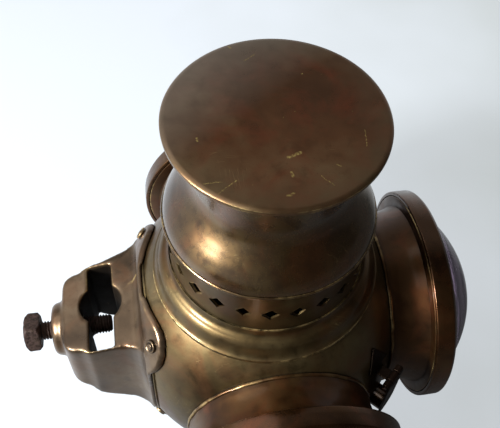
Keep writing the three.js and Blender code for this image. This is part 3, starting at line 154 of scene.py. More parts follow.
def rise_span(node):
    """Lowest and highest rise of a node above the lens axes."""
    low, high = corners(node)
    return low.z - AXIS, high.z - AXIS


def wide_and_rise(node):
    """How far a node's points are from the lamp's axis, and their rise above the lens axes."""
    found = points_of(NODES[node])
    return np.hypot(found[:, 0], found[:, 1]), found[:, 2] - AXIS


def widest(node):
    return float(wide_and_rise(node)[0].max())


# ---- shader nodes ----


def put(kind, feeds, tree=None, **settings):
    """Adds a node to the tree of its feeds. Each feed is a socket to link or a value to set."""
    sockets = {key: value for key, value in feeds.items() if isinstance(value, bpy.types.NodeSocket)}
    tree = tree or next(iter(sockets.values())).id_data
    made = tree.nodes.new("ShaderNode" + kind)
    for key, value in settings.items():
        setattr(made, key, value)
    for key, value in feeds.items():
        if key in sockets:
            tree.links.new(value, made.inputs[key])
        else:
            made.inputs[key].default_value = value
    return made


def new_material(name):
    """A new material, and the place on the object for its nodes."""
    material = bpy.data.materials.new(name)
    material.use_nodes = True
    material.node_tree.nodes.clear()
    return material, put("TexCoord", {}, material.node_tree).outputs["Object"]


def attribute(place, name):
    return put("Attribute", {}, place.id_data, attribute_name=name).outputs["Fac"]


def colour(rgb):
    return (*rgb, 1.0)


def grain(where, scale, detail=4.0, roughness=0.6, distortion=0.0):
    feeds = {"Vector": where, "Scale": scale, "Detail": detail, "Roughness": roughness, "Distortion": distortion}
    return put("TexNoise", feeds).outputs["Fac"]


def span(value, low, high, to_low=0.0, to_high=1.0):
    feeds = {"Value": value, "From Min": low, "From Max": high, "To Min": to_low, "To Max": to_high}
    return put("MapRange", feeds).outputs["Result"]


def sums(operation, first, second=0.0, clamp=False):
    return put("Math", {0: first, 1: second}, operation=operation, use_clamp=clamp).outputs[0]


times = partial(sums, "MULTIPLY")
plus = partial(sums, "ADD")
minus = partial(sums, "SUBTRACT")
larger = partial(sums, "MAXIMUM")


def vectors(operation, first, second=None):
    """Vector maths. The second value is a number for SCALE and left out for LENGTH."""
    feeds = {0: first}
    if second is not None:
        feeds["Scale" if operation == "SCALE" else 1] = second
    made = put("VectorMath", feeds, operation=operation)
    return made.outputs["Value" if operation in ("DOT_PRODUCT", "DISTANCE", "LENGTH") else 0]


def mixed(share, first, second, blend="MIX"):
    feeds = {0: share}
    for index, value in ((6, first), (7, second)):
        feeds[index] = colour(value) if isinstance(value, tuple) else value
    return put("Mix", feeds, data_type="RGBA", blend_type=blend).outputs[2]


def ramp(value, stops):
    made = put("ValToRGB", {"Fac": value})
    elements = made.color_ramp.elements
    while len(elements) < len(stops):
        elements.new(0.5)
    for element, (place, rgb) in zip(elements, stops):
        element.position = place
        element.color = colour(rgb)
    return made.outputs["Color"]


def stretched(where, turn, scale):
    feeds = {"Vector": where, "Rotation": turn, "Scale": scale}
    return put("Mapping", feeds).outputs["Vector"]


def bumpy(strength, depth, height, feeds):
    """A Principled shader with a bump."""
    bump = put("Bump", {"Strength": strength, "Distance": depth, "Height": height})
    return put("BsdfPrincipled", {"Normal": bump.outputs["Normal"], **feeds}).outputs["BSDF"]


def show(shader, kind="Material"):
    put("Output" + kind, {"Surface": shader})


# ---- aged metal ----

# Each look of the metal has its dark, middle, light and red brown.
BROWN_TONES = ((0.048, 0.022, 0.007), (0.100, 0.056, 0.018), (0.150, 0.100, 0.038), (0.128, 0.044, 0.013))
DULL_TONES = ((0.050, 0.030, 0.011), (0.096, 0.061, 0.023), (0.146, 0.105, 0.046), (0.118, 0.050, 0.018))
BARREL_TONES = ((0.038, 0.015, 0.005), (0.082, 0.037, 0.012), (0.120, 0.073, 0.026), (0.122, 0.036, 0.011))
CAP_TONES = ((0.086, 0.036, 0.014), (0.127, 0.053, 0.020), (0.168, 0.094, 0.042), (0.168, 0.045, 0.017))
CAST_TONES = ((0.065, 0.042, 0.025), (0.135, 0.088, 0.051), (0.200, 0.140, 0.086), (0.150, 0.076, 0.039))
SOOTY_TONES = ((0.006, 0.004, 0.003), (0.014, 0.009, 0.006), (0.035, 0.022, 0.012), (0.024, 0.011, 0.006))
GOLD = (0.66, 0.47, 0.20)
# Black for dirt and for painted shade in corners, gaps and the bracket's socket.
DIRT_AND_SHADE_BLACK = (0.008, 0.006, 0.004)
OLIVE = (0.125, 0.092, 0.046)
# Paler brown for a painted sheen on the cap's far left.
SHEEN_PALE_BROWN = (0.31, 0.25, 0.19)
MARK_YELLOW = (0.55, 0.40, 0.12)


def tarnish(where, tones, patches, mottle, fine):
    """The brown skin of old brass."""
    dark, middle, light, red = tones
    look = ramp(patches, [(0.32, dark), (0.5, middle), (0.70, light)])
    reddish = span(grain(where, 31.0, 4.0, 0.6, 0.8), 0.46, 0.66, 0.0, 0.75)
    look = mixed(reddish, look, red)
    look = mixed(span(mottle, 0.46, 0.33, 0.0, 0.4), look, dark)
    return mixed(span(fine, 0.60, 0.72, 0.0, 0.5), look, dark)


def worn_and_glinting(where, edge):
    """Edges worn to bright metal, with painted highlights along them, unevenly and only in stretches."""
    rub = grain(where, 260.0, 4.0, 0.65)
    stretch = span(grain(where, 27.0, 2.0), 0.46, 0.58, 0.04, 1.0)
    worn = times(span(edge, 0.08, 0.42), span(rub, 0.38, 0.56, 0.1, 1.0))
    return times(worn, stretch, clamp=True)


def dirt_and_painted_shade(edge):
    """Dirt and painted shade in inner corners and narrow gaps."""
    crevice_shade = put("AmbientOcclusion", {"Distance": 0.007}, edge.id_data, samples=8).outputs["AO"]
    return larger(span(edge, -0.05, -0.5, 0.0, 0.9), span(crevice_shade, 0.78, 0.42, 0.0, 0.9))


def hairlines(where, turn, scale, width, seen_from):
    """Thin long scratches: the level line of a noise drawn out along one direction."""
    drawn = grain(stretched(where, turn, scale), 1.0, 2.0, 0.5, 0.15)
    line = span(sums("ABSOLUTE", minus(drawn, 0.5)), 0.0, width, 1.0, 0.0)
    seen = span(grain(stretched(where, turn, (1, 1, 1)), 38.0, 2.0), seen_from, seen_from + 0.04)
    return times(line, seen)


def scratched(where, amount):
    lines = hairlines(where, (0.4, 0.3, 0.9), (12, 330, 110), 0.008, 0.64)
    more = hairlines(where, (1.2, 0.9, 2.6), (280, 14, 120), 0.008, 0.66)
    return times(larger(lines, more), amount, clamp=True)


def aged_metal(name, tones, gloss=(0.20, 0.33), scratches=0.3, rough_cast=0.0, coat=0.45, relief=0.4,
               patch_scale=15.0, extra=None, socket_shaded=False):
    """Old brown brass or bronze, with dirt and painted shade in corners and gaps, and painted highlights on worn
    edges. Where the socket is shaded, its painted shade also takes the gloss away.
    """
    material, where = new_material(name)
    patches = grain(where, patch_scale, 4.0, 0.5, 0.5)
    mottle = grain(where, 120.0, 5.0, 0.6, 0.3)
    fine = grain(where, 900.0, 3.0, 0.6)
    look = tarnish(where, tones, patches, mottle, fine)
    if extra:
        look = extra(where, look)
    edge = attribute(where, "edge")
    dirt_and_shade = dirt_and_painted_shade(edge)
    lines = scratched(where, scratches)
    look = mixed(lines, look, GOLD)
    # Dirt, and painted shade where corners and gaps lie in shadow, darken the metal here.
    look = mixed(dirt_and_shade, look, DIRT_AND_SHADE_BLACK)
    # Bright edges: real wear, and painted highlights along them.
    look = mixed(worn_and_glinting(where, edge), look, GOLD)
    roughness = plus(span(mottle, 0.32, 0.66, *gloss), span(patches, 0.3, 0.7, -0.04, 0.05))
    roughness = plus(roughness, times(dirt_and_shade, 0.25), clamp=True)
    # The socket's painted shade also takes gloss and coat away there.
    if socket_shaded:
        socket_shade = attribute(where, "socket_shade")
        roughness = plus(roughness, times(socket_shade, 0.5), clamp=True)
        coat = times(minus(1.0, socket_shade), coat)
    soft = grain(where, 55.0, 3.0, 0.5, 0.4)
    height = plus(times(soft, 0.8), times(mottle, 0.22 + rough_cast))
    height = plus(height, times(fine, 0.04 + 0.3 * rough_cast))
    height = minus(height, times(lines, 0.10))
    show(bumpy(relief, 0.0005, height, {
        "Base Color": look, "Metallic": 0.92, "Roughness": roughness, "Coat Weight": coat, "Coat Roughness": 0.17}))
    return material


# Scratches and bright specks on the cap: the places of both ends in mm, and the width.
CAP_MARKS = (
    ((0.6, -27.3), (6.9, -25.0), 1.0), ((0.4, -36.4), (1.0, -38.3), 0.9), ((-3.4, -49.5), (-0.4, -48.2), 0.7),
    ((-40.7, -9.5), (-40.4, -11.4), 0.7), ((-34.8, -43.7), (-25.2, -37.4), 0.28), ((14.0, -40.0), (19.3, -46.0), 0.25),
    ((-10.5, 40.5), (-3.9, 45.1), 0.35), ((22.8, -34.4), (24.3, -35.3), 0.4), ((-40.9, -37.1), (-32.2, -37.6), 0.2),
    ((41.3, -14.5), (39.8, -24.7), 0.2), ((17.4, 27.4), (17.9, 27.6), 0.4))


def mark(place, start, end, width):
    """1 along a stroke from start to end, else 0."""
    run = (Vector(end) - Vector(start)) * MM
    off = vectors("SUBTRACT", place, (start[0] * MM, start[1] * MM, 0))
    along = vectors("DOT_PRODUCT", off, (run.x, run.y, 0))
    share = sums("DIVIDE", along, run.length_squared, clamp=True)
    nearest = vectors("SCALE", (run.x, run.y, 0), share)
    return span(vectors("DISTANCE", off, nearest), width * MM, 0.4 * width * MM)


def swayed(where, flat):
    """The place on the cap, moved about a little so that strokes get ragged edges."""
    sway = put("TexNoise", {"Vector": where, "Scale": 300.0, "Detail": 5.0, "Roughness": 0.8})
    sway = vectors("SUBTRACT", sway.outputs["Color"], (0.5, 0.5, 0.5))
    place = vectors("ADD", flat, vectors("SCALE", sway, 0.0028))
    return vectors("MULTIPLY", place, (1, 1, 0))


def cap_extra(where, look):
    """The cap turns to olive at its edge and carries a few marks; a paler brown at its far left is a painted sheen."""
    flat = vectors("MULTIPLY", where, (1, 1, 0))
    uneven = span(grain(where, 30.0, 3.0), 0.3, 0.7, -0.012, 0.012)
    reach = plus(vectors("LENGTH", flat), uneven)
    look = mixed(span(reach, 0.034, 0.060, 0.0, 0.55), look, OLIVE)
    # Painted sheen: the cap's far left is made paler.
    far_left_sheen = vectors("DOT_PRODUCT", flat, (-0.6, 0.8, 0))
    look = mixed(span(far_left_sheen, 0.010, 0.062, 0.0, 0.75), look, SHEEN_PALE_BROWN)
    place = swayed(where, flat)
    strokes = 0.0
    for start, end, width in CAP_MARKS:
        strokes = larger(mark(place, start, end, width), strokes)
    strokes = times(strokes, span(grain(where, 900.0, 2.0), 0.40, 0.60, 0.1, 0.8))
    specks = span(grain(where, 260.0, 2.0, 0.5, 0.5), 0.76, 0.78, 0.0, 0.5)
    return mixed(larger(strokes, specks), look, MARK_YELLOW)


def cast_socket_shade(where, look):
    """Painted shade blackens the walls deep in the socket."""
    return mixed(times(attribute(where, "socket_shade"), 0.93), look, DIRT_AND_SHADE_BLACK)


# ---- other materials ----


def plain_metal(name, tones, roughness, metallic, scale, bump_depth, rust=None):
    """Iron with rust, or dull tinned sheet."""
    material, where = new_material(name)
    coarse = grain(where, scale, 5.0, 0.65, 0.5)
    fine = grain(where, scale * 9, 3.0, 0.6)
    look = ramp(coarse, [(0.3, tones[0]), (0.5, tones[1]), (0.7, tones[2])])
    dull = span(coarse, 0.3, 0.7, *roughness)
    shine = metallic
    if rust:
        rusty = span(grain(where, scale * 2.3, 5.0, 0.7, 0.4), 0.42, 0.56)
        look = mixed(rusty, look, rust)
        shine = span(rusty, 0.0, 1.0, metallic, 0.15)
        dull = plus(dull, times(rusty, 0.2), clamp=True)
    worn = span(attribute(where, "edge"), 0.12, 0.6, 0.0, 0.5)
    look = mixed(worn, look, tuple(min(1.0, 1.9 * c) for c in tones[2]))
    height = plus(coarse, times(fine, 0.35))
    show(bumpy(0.6, bump_depth, height, {"Base Color": look, "Metallic": shine, "Roughness": dull}))
    return material


def glass_material():
    """Old lilac glass with dust and fine scratches."""
    material, where = new_material("lens_glass")
    dust = grain(where, 70.0, 5.0, 0.65, 0.4)
    fine = grain(where, 700.0, 3.0, 0.6)
    scratches = hairlines(where, (0.3, 0.8, 0.2), (60, 520, 90), 0.014, 0.56)
    roughness = plus(span(dust, 0.45, 0.75, 0.02, 0.16), times(scratches, 0.3), clamp=True)
    look = ramp(dust, [(0.3, (0.56, 0.47, 0.56)), (0.7, (0.46, 0.38, 0.47))])
    height = plus(span(fine, 0.3, 0.7, 0.0, 0.05), grain(where, 40.0, 2.0))
    show(bumpy(0.15, 0.0004, height, {
        "Base Color": look, "Roughness": roughness, "IOR": 1.52, "Transmission Weight": 0.94}))
    return material


def woven(where):
    """Threads that cross: the wick stands at 45 degrees to the lamp."""
    across = stretched(where, (0, 0, 0.785), (1, 1, 1))
    threads = []
    for place, bands in ((across, "X"), (where, "Z")):
        feeds = {"Vector": place, "Scale": 450.0, "Distortion": 0.4}
        threads.append(put("TexWave", feeds, bands_direction=bands).outputs["Fac"])
    return times(*threads)


def dull_material(name, light, dark, scale, weave=False):
    """Felt or cotton."""
    material, where = new_material(name)
    tone = grain(where, scale, 5.0, 0.65)
    look = ramp(tone, [(0.35, dark), (0.65, light)])
    height = tone
    if weave:
        height = woven(where)
        look = mixed(span(height, 0.0, 1.0, 0.5, 0.0), look, dark)
    show(bumpy(0.5, 0.0003, height, {
        "Base Color": look, "Roughness": span(tone, 0.3, 0.7, 0.75, 0.95)}))
    return material


MATERIALS = {
    "brass": aged_metal("aged_brass", BROWN_TONES, coat=0.8, relief=0.2),
    "ring": aged_metal("ring_brass", BARREL_TONES, gloss=(0.24, 0.36), coat=0.3),
    "dull": aged_metal("dull_brass", DULL_TONES, gloss=(0.32, 0.45), coat=0.25, patch_scale=19.0),
    "barrel": aged_metal("barrel_brass", BARREL_TONES, gloss=(0.34, 0.47), coat=0.2, patch_scale=19.0),
    "cap": aged_metal("cap_brass", CAP_TONES, gloss=(0.28, 0.40), scratches=0.12, coat=0.15, extra=cap_extra),
    "cast": aged_metal("cast_bronze", CAST_TONES, gloss=(0.28, 0.40), rough_cast=0.2, coat=0.15,
                       patch_scale=24.0, extra=cast_socket_shade, socket_shaded=True),
    "sooty": aged_metal("sooty_brass", SOOTY_TONES, gloss=(0.4, 0.55), scratches=0.1, coat=0.0),
    "iron": plain_metal("rusty_iron", ((0.012, 0.008, 0.006), (0.030, 0.017, 0.011), (0.064, 0.040, 0.027)),
                        (0.45, 0.7), 0.75, 190.0, 0.0006, rust=(0.036, 0.015, 0.009)),
    "tin": plain_metal("tinned_sheet", ((0.16, 0.15, 0.135), (0.30, 0.285, 0.26), (0.42, 0.41, 0.38)),
                       (0.38, 0.6), 0.85, 60.0, 0.0003),
    "glass": glass_material(),
    "gasket": dull_material("gasket_felt", (0.030, 0.026, 0.023), (0.012, 0.010, 0.009), 600.0),
    "cotton": dull_material("wick_cotton", (0.62, 0.55, 0.42), (0.30, 0.24, 0.16), 500.0, weave=True),
}

SLOTS = dict.fromkeys(("brass", "ring", "dull", "barrel", "cap", "sooty"), "aged_brass")
SLOTS.update(cast="cast_bronze", iron="rusty_iron", tin="tinned_sheet", glass="lens_glass", gasket="gasket",
             cotton="wick_cotton")

# ---- mesh helpers ----


def built(name, verts, faces, place):
    """An object from points in mm."""
    mesh = bpy.data.meshes.new(name)
    mesh.from_pydata([tuple(value * MM for value in spot) for spot in verts], [], faces)
    mesh.transform(place)
    return new_object(name, mesh)


def rounded(points, arc=4):
    """A closed outline of (radius, along, fillet): each corner with a fillet becomes an arc."""
    out = []
    count = len(points)
    for index, item in enumerate(points):
        middle = Vector(item[:2])
        fillet = item[2] if len(item) > 2 else 0
        before = Vector(points[index - 1][:2])
        after = Vector(points[(index + 1) % count][:2])
        if fillet <= 0:
            out.append(tuple(middle))
            continue
        back, on = before - middle, after - middle
        half = back.angle(on) / 2
        reach = min(fillet / tan(half), 0.46 * back.length, 0.46 * on.length)
        radius = reach * tan(half)
        back.normalize()
        on.normalize()
        centre = middle + (back + on).normalized() * (radius / sin(half))
        start = middle + back * reach - centre
        end = middle + on * reach - centre
        turn = start.angle(end)
        for step in range(arc + 1):
            share = step / arc
            swung = (start * sin((1 - share) * turn) + end * sin(share * turn)) / sin(turn)
            out.append(tuple(centre + swung))
    return out


def bow(wide, high, radii, turns):
    """Points on part of an ellipse about (wide, high), at turns in degrees."""
    angles = [radians(a) for a in turns]
    return [(wide + radii[0] * cos(a), high + radii[1] * sin(a)) for a in angles]


def divided(points, longest, closed):
    """The outline with more points, none further from the next than longest."""
    out = []
    count = len(points)
    last = count if closed else count - 1
    for index in range(last):
        start, end = Vector(points[index]), Vector(points[(index + 1) % count])
        parts = max(1, ceil((end - start).length / longest))
        out += [tuple(start.lerp(end, part / parts)) for part in range(parts)]
    if not closed:
        out.append(tuple(points[-1]))
    return out


def through(points, each=6):
    """A smooth curve through the points."""
    held = [points[0], *points, points[-1]]
    out = []
    for index in range(1, len(held) - 2):
        a, b, c, d = (Vector(p[:2]) for p in held[index - 1:index + 3])
        for step in range(each):
            t = step / each
            out.append(tuple(0.5 * (2 * b + (c - a) * t + (2 * a - 5 * b + 4 * c - d) * t * t
                                    + (3 * b - a - 3 * c + d) * t ** 3)))
    out.append(tuple(points[-1][:2]))
    return out


def along_z(distance):
    return Matrix.Translation((0, 0, distance * MM))


def upright(rise=0.0):
    return along_z(AXIS + rise)


def around_z(turn):
    return Matrix.Rotation(radians(turn), 4, "Z")


def outward(azimuth, rise=0.0):
    """Turns local z to point out of the lamp at an azimuth."""
    return along_z(AXIS + rise) @ around_z(azimuth) @ Matrix.Rotation(pi / 2, 4, "Y")


def spun(name, outline, steps, place, longest=6.0, wobble=0.0, form=None):
    """A solid of revolution from a closed outline, or one that starts and ends on the axis."""
    on_axis = abs(outline[0][0]) < 1e-6 and abs(outline[-1][0]) < 1e-6
    outline = divided([tuple(p[:2]) for p in outline], longest, not on_axis)
    verts, rings = [], []
    for radius, along in outline:
        if radius < 1e-6:
            rings.append([len(verts)] * steps)
            verts.append((0, 0, along))
            continue
        rings.append(list(range(len(verts), len(verts) + steps)))
        for step in range(steps):
            angle = 2 * pi * step / steps
            wide, high = (radius, along) if form is None else form(radius, along, angle)
            if wobble:
                spot = Vector((wide * cos(angle), wide * sin(angle), high)) / 28.0
                wide += wobble * noise.noise(spot + Vector((3.1, 1.7, 9.2)))
            verts.append((wide * cos(angle), wide * sin(angle), high))
    faces = []
    last = len(rings) if not on_axis else len(rings) - 1
    for index in range(last):
        low, high = rings[index], rings[(index + 1) % len(rings)]
        for step in range(steps):
            nxt = (step + 1) % steps
            face = [low[step], low[nxt], high[nxt], high[step]]
            face = [v for position, v in enumerate(face) if v != face[position - 1]]
            if len(face) > 2:
                faces.append(face)
    return built(name, verts, faces, place)


def applied(piece):
    graph = bpy.context.evaluated_depsgraph_get()
    graph.update()
    mesh = bpy.data.meshes.new_from_object(piece.evaluated_get(graph))
    old = piece.data
    piece.modifiers.clear()
    piece.data = mesh
    bpy.data.meshes.remove(old)
    return piece


def merged(pieces, name="merged"):
    mesh = bpy.data.meshes.new(name)
    whole = bmesh.new()
    for piece in pieces:
        whole.from_mesh(piece.data)
        bpy.data.objects.remove(piece)
    whole.to_mesh(mesh)
    whole.free()
    return new_object(name, mesh)


def carved(piece, tools, operation="DIFFERENCE"):
    tool = merged(tools, "tool")
    change = piece.modifiers.new("carve", "BOOLEAN")
    change.object = tool
    change.operation = operation
    change.solver = "EXACT"
    applied(piece)
    bpy.data.objects.remove(tool)
    return piece


def prism(name, outline, depth, place):
    """A flat outline of (x, y) given depth along its local z, from -depth/2 to depth/2."""
    count = len(outline)
    verts = [(x, y, side * depth / 2) for side in (-1, 1) for x, y in outline]
    faces = [list(range(count))[::-1], list(range(count, 2 * count))]
    faces += [[i, (i + 1) % count, count + (i + 1) % count, count + i] for i in range(count)]
    return built(name, verts, faces, place)


def cylinder(radius, start, end, steps, place):
    return spun("tool", [(0, start), (radius, start), (radius, end), (0, end)], steps, place, longest=1000)


def keep_value(piece, name, values):
    made = piece.data.attributes.new(name, "FLOAT", "POINT")
    made.data.foreach_set("value", values.astype(np.float32))


def mark_edges(piece, wear_and_glint, scale=0.45, rounds=2):
    """Keeps on each point how sharply the surface turns there: above 0 outwards, below 0 inwards."""
    mesh = piece.data
    edge_of_loop = read(mesh.loops, "edge_index", 1, np.int32)
    face_of_loop = np.repeat(np.arange(len(mesh.polygons)), read(mesh.polygons, "loop_total", 1, np.int32))
    normals = read(mesh.polygons, "normal", 3)
    centres = read(mesh.polygons, "center", 3) / MM
    pairs = read(mesh.edges, "vertices", 2, np.int32)
    order = np.argsort(edge_of_loop, kind="stable")
    uses = np.bincount(edge_of_loop, minlength=len(pairs))
    starts = np.cumsum(uses) - uses
    shared = np.nonzero(uses == 2)[0]
    first = face_of_loop[order[starts[shared]]]
    second = face_of_loop[order[starts[shared] + 1]]
    gap = centres[second] - centres[first]
    angle = np.arccos((normals[first] * normals[second]).sum(1).clip(-1, 1))
    side = -np.sign((normals[first] * gap).sum(1))
    bend = side * angle / np.linalg.norm(gap, axis=1).clip(0.15) * scale
    most = np.zeros(len(mesh.vertices))
    least = np.zeros(len(mesh.vertices))
    for column in (0, 1):
        np.maximum.at(most, pairs[shared, column], bend)
        np.minimum.at(least, pairs[shared, column], bend)
    values = np.where(most > -least, most, least).clip(-1, 1)
    counts = np.bincount(pairs.ravel(), minlength=len(values)).clip(1)
    for _ in range(rounds):
        total = np.bincount(pairs[:, 0], values[pairs[:, 1]], len(values))
        total += np.bincount(pairs[:, 1], values[pairs[:, 0]], len(values))
        values = 0.5 * values + 0.5 * total / counts
    # Outward turns are scaled here for worn edges and the painted highlights along them.
    keep_value(piece, "edge", np.where(values > 0, values * wear_and_glint, values))


def roughened(piece, layers):
    """Moves a piece's surface in and out by layers of noise, each of a size and a depth."""
    mesh = piece.data
    places = points_of(piece)
    normals = read(mesh.vertices, "normal", 3)
    depths = np.array([sum(depth * noise.noise(Vector(spot) / size) for size, depth in layers) for spot in places])
    mesh.vertices.foreach_set("co", ((places + normals * depths[:, None]) * MM).astype(np.float32).ravel())
    mesh.update()
    return piece


def dress(piece, look, nodes, smooth=40, wear_and_glint=0.3):
    """Gives a finished piece its material, its shading and its body, and hides the node that it stands for."""
    nodes = [nodes] if isinstance(nodes, str) else nodes
    mesh = piece.data
    mesh.materials.clear()
    mesh.materials.append(MATERIALS[look])
    mark_edges(piece, wear_and_glint)
    mesh.polygons.foreach_set("use_smooth", [True] * len(mesh.polygons))
    mesh.set_sharp_from_angle(angle=radians(smooth))
    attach(piece, body_of_node(nodes[0]))
    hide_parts(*nodes)
    return piece


def evened(piece, voxel, rounds):
    """Gives a piece even fine faces and softened edges."""
    remesh = piece.modifiers.new("even", "REMESH")
    remesh.mode = "VOXEL"
    remesh.voxel_size = voxel * MM
    smooth = piece.modifiers.new("soft", "SMOOTH")
    smooth.iterations = rounds
    return applied(piece)


def soft_copy(node, name, voxel, rounds):
    mesh = NODES[node].data.copy()
    mesh.name = name
    piece = new_object(name, mesh)
    whole = bmesh.new()
    whole.from_mesh(mesh)
    bmesh.ops.remove_doubles(whole, verts=whole.verts, dist=1e-6)
    whole.to_mesh(mesh)
    whole.free()
    return evened(piece, voxel, rounds)


# ---- top: cap, hood, vent ring, collar ----


def make_cap():
    low, high = rise_span("top_cap")
    radius = widest("top_cap")
    edge = high - 1.0
    flat = radius - 1.1

    def dome(wide):
        """The top is nearly level in the middle and falls off towards the edge."""
        return high - 0.98 * (wide / flat) ** 6

    top = [(wide, dome(wide)) for wide in np.linspace(flat, 0, 18)]
    under = [(wide, dome(wide) - SHEET) for wide in np.linspace(0, radius - 3.4, 8)]
    brim = rounded([(radius - 3.4, edge - SHEET), (radius - SHEET, edge - 1.9, 0.6), (radius - SHEET, low, 0.4),
                    (radius, low, 0.5), (radius, edge - 1.0, 0.5), (flat, edge)])
    outline = under + brim[1:-1] + top

    def form(wide, rise, angle):
        dent = 0.35 * max(0.0, cos(angle - 2.4)) ** 12 * (wide / radius) ** 4
        return wide, rise - dent

    piece = spun("cap", outline, FINE, upright(), 3.0, 0.10, form)
    dress(piece, "cap", "top_cap", wear_and_glint=0.6)


def make_hood():
    low, high = rise_span("chimney_hood")
    wide, rise = wide_and_rise("chimney_hood")
    lip = float(wide.max())
    top = float(wide[rise > high - 0.01].max())
    foot = low + 2.4
    shoulder = lip - 0.9
    shares = [(1.0, 0.0), (0.956, 0.048), (0.862, 0.102), (0.70, 0.171), (0.505, 0.24), (0.313, 0.309),
              (0.154, 0.378), (0.052, 0.447), (0.004, 0.53), (0.0, 0.76), (0.0, 1.0)]
    wall = through([(top + (shoulder - top) * a, foot + (high - foot) * b) for a, b in shares], 6)
    inside = [(a - SHEET, b) for a, b in wall][::-1]
    lip_part = rounded([
        (shoulder - SHEET, low, 0.4),
        (lip - 0.1, low, 0.9),
        (lip, low + 1.5, 0.8),
        (shoulder + 0.1, foot + 0.2, 0.5),
    ])
    mouth = [(top + 0.15, high - 0.35), (top - 0.1, high), (top - SHEET, high)]
    outline = lip_part + wall[1:-1] + mouth + inside[1:]

    def form(wide, rise, angle):
        """The lip is lapped over itself on the left, where its outer layer ends in a step."""
        if rise > foot + 0.6:
            return wide, rise
        turned = degrees(angle) % 360
        lapped = 0.0 if turned >= 252 else min(1.0, max(0.0, 1 - (196 - turned) / 60))
        return wide + 0.32 * lapped * min(1.0, (foot + 0.6 - rise)), rise - 0.2 * lapped

    piece = spun("hood", outline, FINE, upright(), 4.0, 0.22, form)
    dress(piece, "brass", "chimney_hood", wear_and_glint=0.35)


VENT_COUNT = 24
VENT_RISE = 102.3
VENT_REACH = 4.75


def vent_place(index, out):
    return outward((index + 0.5) * 360 / VENT_COUNT, VENT_RISE) @ along_z(out)


def make_vent_ring():
    """The holes differ a little, and most have a bright lip at one lower side."""
    low, high = rise_span("vent_ring")
    radius = widest("vent_ring")
    outline = rounded([(radius - SHEET, low), (radius, low, 0.3), (radius, high, 0.3), (radius - SHEET, high)])
    piece = spun("vent_ring", outline, FINE, upright(), 3.0, 0.10)
    reach = VENT_REACH + 0.1
    strip = rounded([(0, -reach, 0.1), (reach, 0, 0.1), (reach + 0.5, 0, 0.1), (0, -reach - 0.5, 0.1)], 1)
    tools, lips = [], []
    for index in range(VENT_COUNT):
        size = VENT_REACH * (1 + 0.05 * sin(index * 2.7))
        shape = rounded([(-size, 0, 0.3), (0, -size, 0.3), (size, 0, 0.3), (0, size, 0.3)], 2)
        turn = Matrix.Rotation(0.06 * sin(index * 5.1), 4, "Z")
        tools.append(prism("tool", shape, 14, vent_place(index, radius) @ turn))
        if index % 3 != 1:
            lips.append(prism("lip", strip, 0.5, vent_place(index, radius + 0.12)))
    carved(piece, tools)
    dress(merged([piece] + lips, "vent_ring_dressed"), "dull", "vent_ring", 35, 0.4)


def make_collar():
    low, high = rise_span("shoulder_collar")
    radius = widest("shoulder_collar")
    neck = widest("vent_ring") + 0.6
    inner = widest("vent_ring") - 0.6
    flange_rise = over_ball(radius, 0.05) + 2.6
    bends = [(0.15, 17), (0.9, 13), (2.6, 10.9), (4.6, 9.6), (6.5, 7.2), (7.6, 4.4), (8.6, 2.0), (9.7, 0.3)]
    bends = [(neck + out, flange_rise + up) for out, up in bends]
    curve = through([(neck, high - 0.8), (neck + 0.02, high - 5), *bends, (radius - 0.2, flange_rise - 0.5)], 4)
    outline = [(radius, over_ball(radius, 0.02)), (radius, flange_rise - 0.9)] + curve[::-1]
    outline += [(neck - 0.5, high), (inner, high)]
    outline += [(inner, over_ball(inner, 0.3) + SHEET)]
    outline += [(r, over_ball(r, 0.02)) for r in np.linspace(inner + 3, radius - 1, 6)]
    piece = spun("collar", outline, FINE, upright(), 2.5, 0.12)
    dress(piece, "dull", "shoulder_collar", 45, 0.75)


# ---- ball and its lens sides ----

LENS_SIDES = {"right": 0, "front": -90, "back": 90}
SIGHT_AZIMUTH = -46


def ends(values):
    return float(values.min()), float(values.max())


def along_and_off(node, direction):
    """A node's points as distance along a direction from the ball's centre and distance from that line."""
    found = places_of(NODES[node])
    along = found @ direction
    return along, np.linalg.norm(found - np.outer(along, direction), axis=1)


def along_and_radius(node, azimuth):
    return along_and_off(node, np.array((cos(radians(azimuth)), sin(radians(azimuth)), 0)))


def neck_radius():
    out, radius = along_and_radius("barrel_right", 0)
    return float(radius[out < out.min() + 0.01].max())


NECK = neck_radius()


def make_ball():
    top = over_ball(62.0)
    foot = -over_ball(widest("body_skirt") - 2.3)
    low, high = asin(foot / BALL), asin(top / BALL)
    count = 44
    angles = [low + (high - low) * step / count for step in range(count + 1)]
    outer = [(BALL * cos(a), BALL * sin(a)) for a in angles]
    inner = [((BALL - SHEET) * cos(a), (BALL - SHEET) * sin(a)) for a in angles[::-1]]
    piece = spun("ball", outer + inner, FINE, upright(), 5.0, 0.16)
    tools = [cylinder(NECK + 0.3, 40, BALL + 20, 96, outward(a)) for a in (0, 90, 180, -90)]
    drop = middle_rise("sight_tube") - AXIS
    tools.append(cylinder(7.7, 60, BALL + 20, 48, outward(SIGHT_AZIMUTH, drop)))
    carved(piece, tools)
    dress(piece, "dull", "body_shell", 35)


